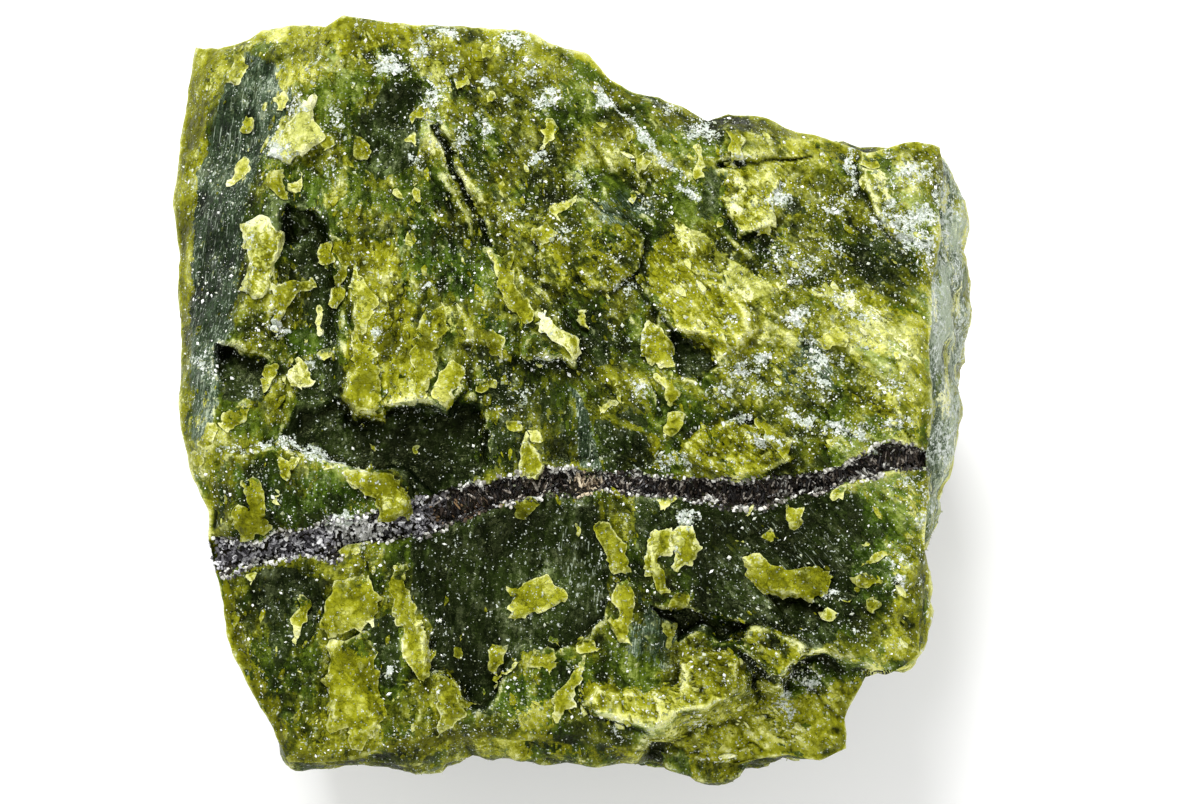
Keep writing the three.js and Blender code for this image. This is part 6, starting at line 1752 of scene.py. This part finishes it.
def make_fibres(rng):
    """Fibres across the vein: finer and looser on its banks and towards its granular left end."""
    t = rng.random(FIBRES)
    middle_u, middle_v = along(VEIN, t)
    ahead_u, ahead_v = along(VEIN, np.clip(t + 0.004, 0, 1))
    behind_u, behind_v = along(VEIN, np.clip(t - 0.004, 0, 1))
    run = np.stack([ahead_u - behind_u, ahead_v - behind_v], -1)
    run /= np.linalg.norm(run, axis=1)[:, None]
    side_way = np.clip(1.12 * rng.uniform(-1, 1, FIBRES), -1.1, 1.1)
    half = half_vein(middle_u, middle_v)
    middle_v = middle_v - 0.35 * noise(middle_u / 3.1, 0.7, 8.2) - 0.16 * noise(middle_u / 1.1, 0.4, 6.2)
    at_u = middle_u - run[:, 1] * side_way * half * 0.92
    at_v = middle_v + run[:, 0] * side_way * half * 0.92
    granular = smoothstep((-10 - at_u) / 4)
    bank_side = np.minimum(np.abs(side_way), 1)
    loose = np.maximum(granular, smoothstep((bank_side - 0.6) / 0.15))
    lift = mix(rng.uniform(-0.05, 0.3, FIBRES), rng.uniform(-0.15, 0.55, FIBRES), granular)
    lift = lift * (1 - 0.4 * bank_side)
    points = roughen(from_face(at_u, at_v, full_height(at_u, at_v) + lift))
    angle = np.arctan2(run[:, 0], -run[:, 1]) + 0.7 * noise(at_u / 1.3, at_v / 2, 3.7)
    angle = angle + rng.normal(0, mix(0.5, 1.6, loose))
    fibre_way = face_direction(angle, rng.normal(0, mix(0.3, 0.8, loose)))
    out = np.tile(np.array([0, -math.sin(LEAN), math.cos(LEAN)]), (FIBRES, 1))
    axes = frames_from(out + rng.normal(0, 0.2, (FIBRES, 3)), fibre_way)
    length = mix(rng.uniform(0.15, 0.6, FIBRES), rng.uniform(0.1, 0.34, FIBRES), loose)
    length = length * (1 - 0.3 * bank_side)
    thin = mix(rng.uniform(0.05, 0.15, FIBRES), rng.uniform(0.09, 0.22, FIBRES), loose)
    sizes = np.stack([length, thin, 0.9 * thin], -1)
    keep = inside_distance(RIM, at_u, at_v) > 0.1
    at, axes, sizes = points[keep], axes[keep], sizes[keep]
    fibres, owner = scatter("serpentine_vein", FIBRE_SHAPE, FIBRE_FACES, at, axes, sizes, 0.18, rng)
    set_attribute(fibres, "own", rng.random(int(keep.sum()))[owner])
    set_attribute(fibres, "granular", granular[keep][owner])
    set_attribute(fibres, "bank", bank_side[keep][owner])
    for name, (spot_u, spot_v), (reach_u, reach_v) in VEIN_SPOTS:
        far = ((at_u - spot_u) / reach_u) ** 2 + ((at_v - spot_v) / reach_v) ** 2
        set_attribute(fibres, name, np.exp(-far)[keep][owner])
    return fibres


rng = np.random.default_rng(23)
chips = make_chips(rng)
grains = make_grains(rng)
fibres = make_fibres(rng)


# ---------------------------------------------------------------- materials

RAMPS = {  # from dark to light: where on the ramp, and the colour by its usual 0-255 numbers
    "base": [
        (0, (4, 7, 0)), (0.28, (35, 42, 2)), (0.5, (80, 86, 8)), (0.72, (120, 124, 30)),
        (1, (178, 181, 108)),
    ],
    "slate": [(0, (4, 14, 8)), (0.35, (32, 46, 28)), (0.65, (68, 84, 62)), (1, (156, 168, 144))],
    "dark": [(0, (0, 3, 0)), (0.35, (13, 22, 3)), (0.65, (36, 48, 14)), (1, (98, 112, 62))],
    "green": [(0, (2, 10, 0)), (0.35, (28, 46, 2)), (0.65, (66, 88, 16)), (1, (132, 148, 70))],
    "yellow": [(0, (40, 42, 0)), (0.35, (94, 96, 3)), (0.65, (138, 140, 22)), (1, (198, 199, 106))],
    "pale": [(0, (90, 94, 18)), (0.35, (142, 146, 52)), (0.65, (188, 191, 108)), (1, (234, 234, 186))],
    # the colours of the haze, partly frost and partly painted sheen
    "haze": [(0.1, (20, 30, 14)), (0.5, (112, 120, 82)), (1, (214, 220, 186))],
    # the colours of the painted highlight on ridges and edges
    "edge_highlight": [(0.1, (92, 98, 40)), (0.5, (150, 154, 84)), (1, (222, 224, 170))],
    "chalk": [(0.2, (134, 146, 124)), (0.5, (190, 198, 188)), (0.8, (236, 239, 238))],
    "grain": [(0, (96, 106, 58)), (0.3, (146, 154, 118)), (0.6, (202, 207, 190)), (0.9, (244, 245, 242))],
    "vein bed": [(0.2, (10, 7, 5)), (0.55, (28, 23, 20)), (0.8, (80, 74, 68))],
    "vein crust": [(0.1, (84, 80, 70)), (0.5, (158, 156, 146)), (0.9, (224, 224, 216))],
    # the lightest end of this ramp paints glints on a few fibres
    "fibre": [
        (0.1, (7, 5, 4)), (0.5, (23, 17, 14)), (0.74, (52, 42, 34)), (0.88, (104, 94, 82)),
        (1, (190, 184, 172)),
    ],
    "silver": [
        (0.08, (20, 18, 20)), (0.3, (70, 68, 73)), (0.5, (124, 122, 126)), (0.72, (170, 169, 173)),
        (0.95, (236, 236, 236)),
    ],
    "rust": [(0.3, (10, 7, 5)), (0.75, (46, 33, 22)), (1, (132, 106, 72))],
    "straw": [(0.2, (34, 26, 20)), (0.6, (130, 112, 86)), (1, (222, 208, 178))],
    "tuft": [(0, (120, 120, 112)), (0.5, (214, 214, 208)), (0.9, (248, 248, 246))],
}
BORDERS = {  # over which share of a kind it fades in, in the order in which they lie over each other
    "slate": (0.4, 0.6),
    "dark": (0.42, 0.58),
    "green": (0.38, 0.66),
    "yellow": (0.43, 0.57),
    "pale": (0.45, 0.6),
}
GRAIN_STEEP = (-0.12, -0.93, -0.34)
GRAIN_SLANTING = (0.64, -0.72, -0.26)
# the white specks are partly dust and partly painted glints
RARITY = 0.54  # of the white specks


def tint(red, green, blue):
    """A colour named by its usual 0-255 numbers, as the linear one that a shader takes."""
    linear = [((c / 255 + 0.055) / 1.055) ** 2.4 if c > 10 else c / 255 / 12.92 for c in (red, green, blue)]
    return (*linear, 1)


class Shader:
    """A material's nodes, made in few words."""

    def __init__(self, name):
        self.material = bpy.data.materials.new(name)
        self.material.use_nodes = True
        self.tree = self.material.node_tree
        self.tree.nodes.clear()
        coordinates = self.tree.nodes.new("ShaderNodeTexCoord").outputs["Object"]
        inputs = {0: coordinates, "Scale": 1 / MM}
        self.place = self.node("ShaderNodeVectorMath", inputs, operation="SCALE").outputs[0]

    def node(self, kind, inputs, **settings):
        """A node of a kind, with sockets or values fed to its inputs."""
        made = self.tree.nodes.new(kind)
        for key, value in settings.items():
            setattr(made, key, value)
        for key, value in inputs.items():
            self.feed(made.inputs[key], value)
        return made

    def feed(self, socket, value):
        if isinstance(value, bpy.types.NodeSocket):
            self.tree.links.new(value, socket)
        else:
            socket.default_value = value

    def attribute(self, name):
        return self.node("ShaderNodeAttribute", {}, attribute_name=name).outputs["Fac"]

    def math(self, operation, a, b=0.0):
        return self.node("ShaderNodeMath", {0: a, 1: b}, operation=operation).outputs[0]

    def times(self, a, b):
        return self.math("MULTIPLY", a, b)

    def vector(self, operation, a, b, result="Vector"):
        return self.node("ShaderNodeVectorMath", {0: a, 1: b}, operation=operation).outputs[result]

    def add(self, *terms):
        """The sum of terms, each a socket, a number, or a (socket, factor) pair."""
        total = 0.0
        for term in terms:
            if isinstance(term, tuple):
                term = self.times(*term)
            total = self.math("ADD", total, term)
        return total

    def noise(self, size, detail=2.0, seed=0.0, place=None, crisp=0.5):
        """Noise about 0, with lumps of `size` mm; the crisper, the more its finer octaves count."""
        moved = self.vector("ADD", place or self.place, (seed, seed, 0))
        inputs = {"Vector": moved, "Scale": 1 / size, "Detail": detail, "Roughness": crisp}
        value = self.node("ShaderNodeTexNoise", inputs).outputs["Fac"]
        return self.math("SUBTRACT", value, 0.5)

    def scaled(self, place, *factors):
        """A place multiplied by one number, or by one for each axis."""
        return self.vector("MULTIPLY", place, factors if len(factors) == 3 else factors * 3)

    def cells(self, place, size=1.0):
        """Cells of `size`: the node, and three numbers of its own for each cell."""
        cell = self.node("ShaderNodeTexVoronoi", {"Vector": place, "Scale": 1 / size})
        return cell, self.node("ShaderNodeSeparateColor", {0: cell.outputs["Color"]}).outputs

    def grain_place(self, direction, width, length):
        """The place in a frame that is drawn out along a direction, in units of width and length mm."""
        along = Vector(direction).normalized()
        across = along.orthogonal().normalized()
        third = along.cross(across)
        parts = [
            self.vector("DOT_PRODUCT", self.place, tuple(axis / size), "Value")
            for axis, size in ((across, width), (third, width), (along, length))
        ]
        return self.node("ShaderNodeCombineXYZ", dict(enumerate(parts))).outputs[0]

    def shards(self, place, wobble, ragged):
        """Splintery fragments, one to a unit of the place: their node, the place and three numbers."""
        moved = self.vector("ADD", place, self.scaled(wobble, ragged))
        cell, numbers = self.cells(moved)
        return cell, moved, [self.math("SUBTRACT", number, 0.5) for number in numbers[:3]]

    def shard_tops(self, cell, moved, own):
        """How high the tilted tops of fragments stand."""
        offset = self.vector("SUBTRACT", moved, cell.outputs["Position"])
        lean = self.vector("SUBTRACT", cell.outputs["Color"], (0.5, 0.5, 0.5))
        return self.add(self.vector("DOT_PRODUCT", offset, lean, "Value"), (own[0], 0.3))

    def step(self, value, low, high):
        """0 where the value is low, 1 where it is high, and smoothly between them."""
        inputs = {"Value": value, "From Min": low, "From Max": high}
        return self.node("ShaderNodeMapRange", inputs, interpolation_type="SMOOTHSTEP").outputs["Result"]

    def ramp(self, value, *stops):
        """A colour that runs through the stops with the value."""
        made = self.node("ShaderNodeValToRGB", {"Fac": value})
        elements = made.color_ramp.elements
        while len(elements) < len(stops):
            elements.new(0.5)
        for element, (position, _) in zip(elements, stops):
            element.position = position
        for element, (_, colour) in zip(elements, stops):
            element.color = tint(*colour)
        return made.outputs["Color"]

    def blend(self, share, a, b):
        return self.node("ShaderNodeMix", {0: share, 6: a, 7: b}, data_type="RGBA").outputs[2]

    def range(self, share, low, high):
        """From low to high by a share."""
        return self.add(low, (share, high - low))

    def bump(self, height, distance, strength):
        inputs = {"Height": height, "Distance": distance * MM, "Strength": strength}
        return self.node("ShaderNodeBump", inputs).outputs["Normal"]

    def finish(self, inputs):
        surface = self.node("ShaderNodeBsdfPrincipled", inputs).outputs["BSDF"]
        self.node("ShaderNodeOutputMaterial", {"Surface": surface})
        return self.material


def stone_material():
    s = Shader("serpentine")
    broad = s.noise(7, 2, crisp=0.55)
    medium = s.noise(1.6, 2, seed=7, crisp=0.65)
    fine = s.noise(0.36, 1, seed=3, crisp=0.65)
    tiny = s.noise(0.11, 1, seed=9)
    ridge, swell, bulk = s.attribute("ridge"), s.attribute("swell"), s.attribute("bulk")
    streak, plate = s.attribute("streak"), s.attribute("plate")
    steep_here = s.step(s.add(s.attribute("steep"), (medium, 1.2)), 0.49, 0.51)
    slanting, steep = s.grain_place(GRAIN_SLANTING, 1.0, 2.2), s.grain_place(GRAIN_STEEP, 1.0, 2.6)
    inputs = {0: steep_here, 4: slanting, 5: steep}
    grain = s.node("ShaderNodeMix", inputs, data_type="VECTOR").outputs[1]
    inputs = {0: medium, 1: fine, 2: s.add(fine, (medium, -1.0))}
    wobble = s.node("ShaderNodeCombineXYZ", inputs).outputs[0]
    _, _, large = s.shards(s.scaled(grain, 0.62), wobble, 1.0)
    small_shards = s.shards(s.scaled(grain, 2.7), wobble, 2.0)
    small = small_shards[2]
    thread = s.noise(0.3, 2, 31, s.scaled(grain, 1, 1, 0.2))
    hair = s.noise(0.12, 1, 37, s.scaled(grain, 1, 1, 0.12))
    waxy = s.attribute("waxy")

    # how light or dark, whatever the kind of stone; the ridge, swell and bulk terms paint ridges and lumps
    # lighter and hollows darker, as painted light and shade
    mottled = s.add(
        (medium, 0.55), (fine, 0.4), (tiny, 0.3), (thread, 0.35), (large[0], 0.26), (small[0], 0.2)
    )
    uneven = s.add(
        s.attribute("shade"), (broad, 1.1), (streak, 0.12), (plate, 0.32), (ridge, 0.42), (swell, 0.26),
        (bulk, 0.38), s.times(mottled, s.range(waxy, 1.0, 0.45)),
    )
    tone = s.add(0.41, (uneven, 1.05))

    # the kinds of stone, one over the other with ragged borders
    hue = s.noise(5, 1, seed=23, crisp=0.6)
    colour = s.ramp(tone, *RAMPS["base"])
    leaning = s.step(s.add(hue, (plate, 0.2), (fine, 0.3), (large[1], 0.25)), -0.02, 0.12)
    colour = s.blend(s.times(leaning, 0.8), colour, s.ramp(tone, *RAMPS["green"]))
    yellowing = s.step(s.add((hue, -1.0), (plate, 0.15), (medium, 0.4), (small[1], 0.25)), 0.04, 0.16)
    colour = s.blend(s.times(yellowing, 0.6), colour, s.ramp(tone, *RAMPS["yellow"]))
    breakup = s.add(
        (medium, 0.6), (fine, 0.3), (tiny, 0.1), (plate, 0.24), (ridge, 0.1), (large[2], 0.36),
        (small[2], 0.24),
    )
    shares = {}
    for kind, (low, high) in BORDERS.items():
        shares[kind] = s.step(s.add(s.attribute(kind), breakup), low, high)
        shade = s.add(tone, (hair, 0.9)) if kind == "slate" else tone
        colour = s.blend(shares[kind], colour, s.ramp(shade, *RAMPS[kind]))

    # scratches on the slate, a thin haze that is partly frost and partly painted sheen, painted highlights on
    # ridges and painted shade in cracks and hollows
    veil = s.noise(0.9, 2, seed=41, crisp=0.7)
    scratches = s.step(s.add(hair, (thread, 0.6), (veil, 0.25)), 0.13, 0.26)
    scratches = s.times(scratches, s.times(shares["slate"], 0.5))
    colour = s.blend(scratches, colour, tint(178, 190, 170))
    # a greyish veil over the colour, less on waxy places: partly frost and partly painted sheen
    haze = s.step(s.add((veil, 1.0), (hue, -0.5), (tiny, 0.3), (thread, 0.4)), 0.0, 0.3)
    colour = s.blend(s.times(haze, s.range(waxy, 0.3, 0.12)), colour, s.ramp(tone, *RAMPS["haze"]))
    # painted highlight: convex ridges and edges blended towards a pale colour
    edge_highlight = s.add(
        ridge, (fine, 0.6), (medium, 0.8), (veil, 0.9), (small[0], 0.2), (shares["dark"], -0.15)
    )
    colour = s.blend(s.times(s.step(edge_highlight, 0.26, 0.44), 0.5), colour, s.ramp(tone, *RAMPS["edge_highlight"]))
    # painted shade: hollows and creases, where ridge and swell are low, darkened towards near black
    shadow = s.step(s.add((ridge, 0.6), (swell, 0.6), (fine, 0.3)), -0.12, -0.42)
    colour = s.blend(s.times(shadow, 0.6), colour, tint(10, 14, 0))

    # white crust, and white specks that are partly dust and partly painted glints
    dust = s.attribute("dust")
    crust = s.add(dust, (s.noise(0.6, 1, seed=11), 1.6), (s.noise(0.22, 1, seed=13), 1.4))
    crust = s.step(crust, 0.44, 0.64)
    specks_and_glints = 0.0
    for size, radius, place in ((0.5, 0.08, s.scaled(grain, 1.1, 1.1, 1.5)), (0.28, 0.13, s.place)):
        cell, numbers = s.cells(place, size)
        crowd = s.add(
            numbers[0], (dust, 0.9), (broad, 1.5), (medium, 2.4), (veil, 0.5), (shares["dark"], -0.08)
        )
        chosen = s.times(s.step(crowd, RARITY, RARITY + 0.04), s.range(numbers[2], 0.4, 1.0))
        spread = s.add(radius, (dust, 0.15), (numbers[1], 0.14))
        near = s.math("SUBTRACT", spread, s.add(cell.outputs["Distance"], (fine, 0.6), (tiny, 0.6)))
        specks_and_glints = s.math("MAXIMUM", specks_and_glints, s.times(s.step(near, 0.0, 0.06), chosen))
    white = s.math("MAXIMUM", s.times(crust, 0.92), s.times(specks_and_glints, 0.85))
    chalk = s.ramp(s.add(0.5, (medium, 0.6), (fine, 0.9), (tiny, 0.5)), *RAMPS["chalk"])
    colour = s.blend(white, colour, chalk)

    vein = s.step(s.add(s.attribute("vein"), (fine, 0.5)), 0.35, 0.65)
    vein_colour = s.ramp(s.add(0.5, (medium, 0.9), (fine, 0.9)), *RAMPS["vein bed"])
    colour = s.blend(s.times(vein, s.math("SUBTRACT", 1.0, white)), colour, vein_colour)

    roughness = s.add(
        0.5, (shares["dark"], -0.12), (shares["pale"], 0.08), (medium, 0.4), (small[1], 0.25), (white, 0.35)
    )
    broken = s.add((s.shard_tops(*small_shards), 0.34), (medium, 0.5), (fine, 0.36))
    broken = s.times(broken, s.range(s.attribute("dark"), 1.0, 0.4))
    broken = s.times(broken, s.range(waxy, 1.0, 0.65))
    return s.finish({
        "Base Color": colour,
        "Roughness": roughness,
        "IOR": 1.5,
        "Specular IOR Level": 0.12,
        "Specular Tint": (0.86, 1.0, 0.4, 1.0),
        "Normal": s.bump(broken, 1.0, 0.75),
    })


def dust_material():
    s = Shader("serpentine_dust")
    fine = s.noise(0.2, 2)
    return s.finish({
        "Base Color": s.ramp(s.add(s.attribute("own"), (fine, 0.4)), *RAMPS["grain"]),
        "Roughness": s.add(0.75, (fine, 0.3)),
        "Normal": s.bump(fine, 0.08, 0.4),
    })


def vein_material():
    s = Shader("serpentine_vein")
    own, granular, bank = s.attribute("own"), s.attribute("granular"), s.attribute("bank")
    fine, medium = s.noise(0.18, 3), s.noise(1.3, 3, seed=5)
    fibrous = s.ramp(s.add(own, (fine, 0.5), (medium, 0.5)), *RAMPS["fibre"])
    silver = s.ramp(s.add(own, (fine, 0.6), (medium, 0.6)), *RAMPS["silver"])
    colour = s.blend(granular, fibrous, silver)
    patches = s.noise(2.4, 3, seed=17)
    edge = s.step(s.add(bank, (patches, 3.4), (medium, 1.0), (own, 0.5), -0.42), 0.72, 0.96)
    colour = s.blend(edge, colour, s.ramp(s.add(own, (fine, 0.5)), *RAMPS["vein crust"]))
    for name in ("rust", "straw", "tuft"):
        share = s.step(s.add(s.attribute(name), (own, 0.4), (medium, 0.6), -0.2), 0.3, 0.5)
        colour = s.blend(share, colour, s.ramp(s.add(own, (fine, 0.4)), *RAMPS[name]))
    return s.finish({
        "Base Color": colour,
        "Roughness": s.add(0.34, (fine, 0.5), (edge, 0.3)),
        "IOR": 1.6,
        "Normal": s.bump(fine, 0.1, 0.4),
    })


def wear(piece, material, sharp_degrees):
    """Gives a piece its material, and shading that is smooth up to that angle between faces."""
    piece.data.materials.append(material)
    piece.data.polygons.foreach_set("use_smooth", [True] * len(piece.data.polygons))
    piece.data.set_sharp_from_angle(angle=math.radians(sharp_degrees))


rock = stone_material()
wear(stone, rock, 38)
wear(flakes, rock, 34)
wear(chips, rock, 20)
wear(grains, dust_material(), 10)
wear(fibres, vein_material(), 25)

for piece in (stone, flakes, chips, grains, fibres):
    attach(piece, BODY)
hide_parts(NODE)

# ---------------------------------------------------------------- floor, light and camera


def make_floor():
    corners = FLOOR_REACH * np.array([(-1, -1, 0), (1, -1, 0), (1, 1, 0), (-1, 1, 0)])
    floor = make_object("floor", corners, [(0, 1, 2, 3)])
    floor.data.materials.append(Shader("floor").finish({
        "Base Color": tint(238, 238, 238),
        "Roughness": 0.9,
        "Specular IOR Level": 0.1,
        "Emission Color": (1.0, 1.0, 1.0, 1.0),
        "Emission Strength": FLOOR_GLOW,
    }))
    return floor


def area_light(name, place, size, watts):
    data = bpy.data.lights.new(name, "AREA")
    data.shape = "RECTANGLE"
    data.size, data.size_y = size
    data.energy = watts
    light = bpy.data.objects.new(name, data)
    light.location = place
    towards = Vector(LIGHT_TARGET) - Vector(place)
    light.rotation_euler = towards.to_track_quat("-Z", "Y").to_euler()
    bpy.context.scene.collection.objects.link(light)


make_floor()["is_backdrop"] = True

world = bpy.data.worlds.new("studio")
bpy.context.scene.world = world
world.use_nodes = True
background = world.node_tree.nodes["Background"].inputs
background["Color"].default_value = (1, 1, 1, 1)
background["Strength"].default_value = WORLD_LIGHT

for light in LIGHTS:
    area_light(*light)

camera_data = bpy.data.cameras.new("camera")
camera_data.sensor_width = 36
camera_data.lens = LENS
camera = bpy.data.objects.new("camera", camera_data)
across_sight = SIGHT_V * math.cos(LEAN) - NEAR_POINT * math.sin(LEAN)
up_sight = SIGHT_V * math.sin(LEAN) + NEAR_POINT * math.cos(LEAN) + RISE
camera.location = Vector(to_row_frame(np.array([SIGHT_U, across_sight, up_sight])))
camera.rotation_euler = (LEAN, 0, 0)
camera_data.clip_start = 0.01
bpy.context.scene.collection.objects.link(camera)
bpy.context.scene.camera = camera
bpy.context.scene.view_settings.view_transform = "Standard"

boxes = {"cad": CAD_BOX, "visual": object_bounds()}
{name: [list(map(float, corner)) for corner in box] for name, box in boxes.items()}
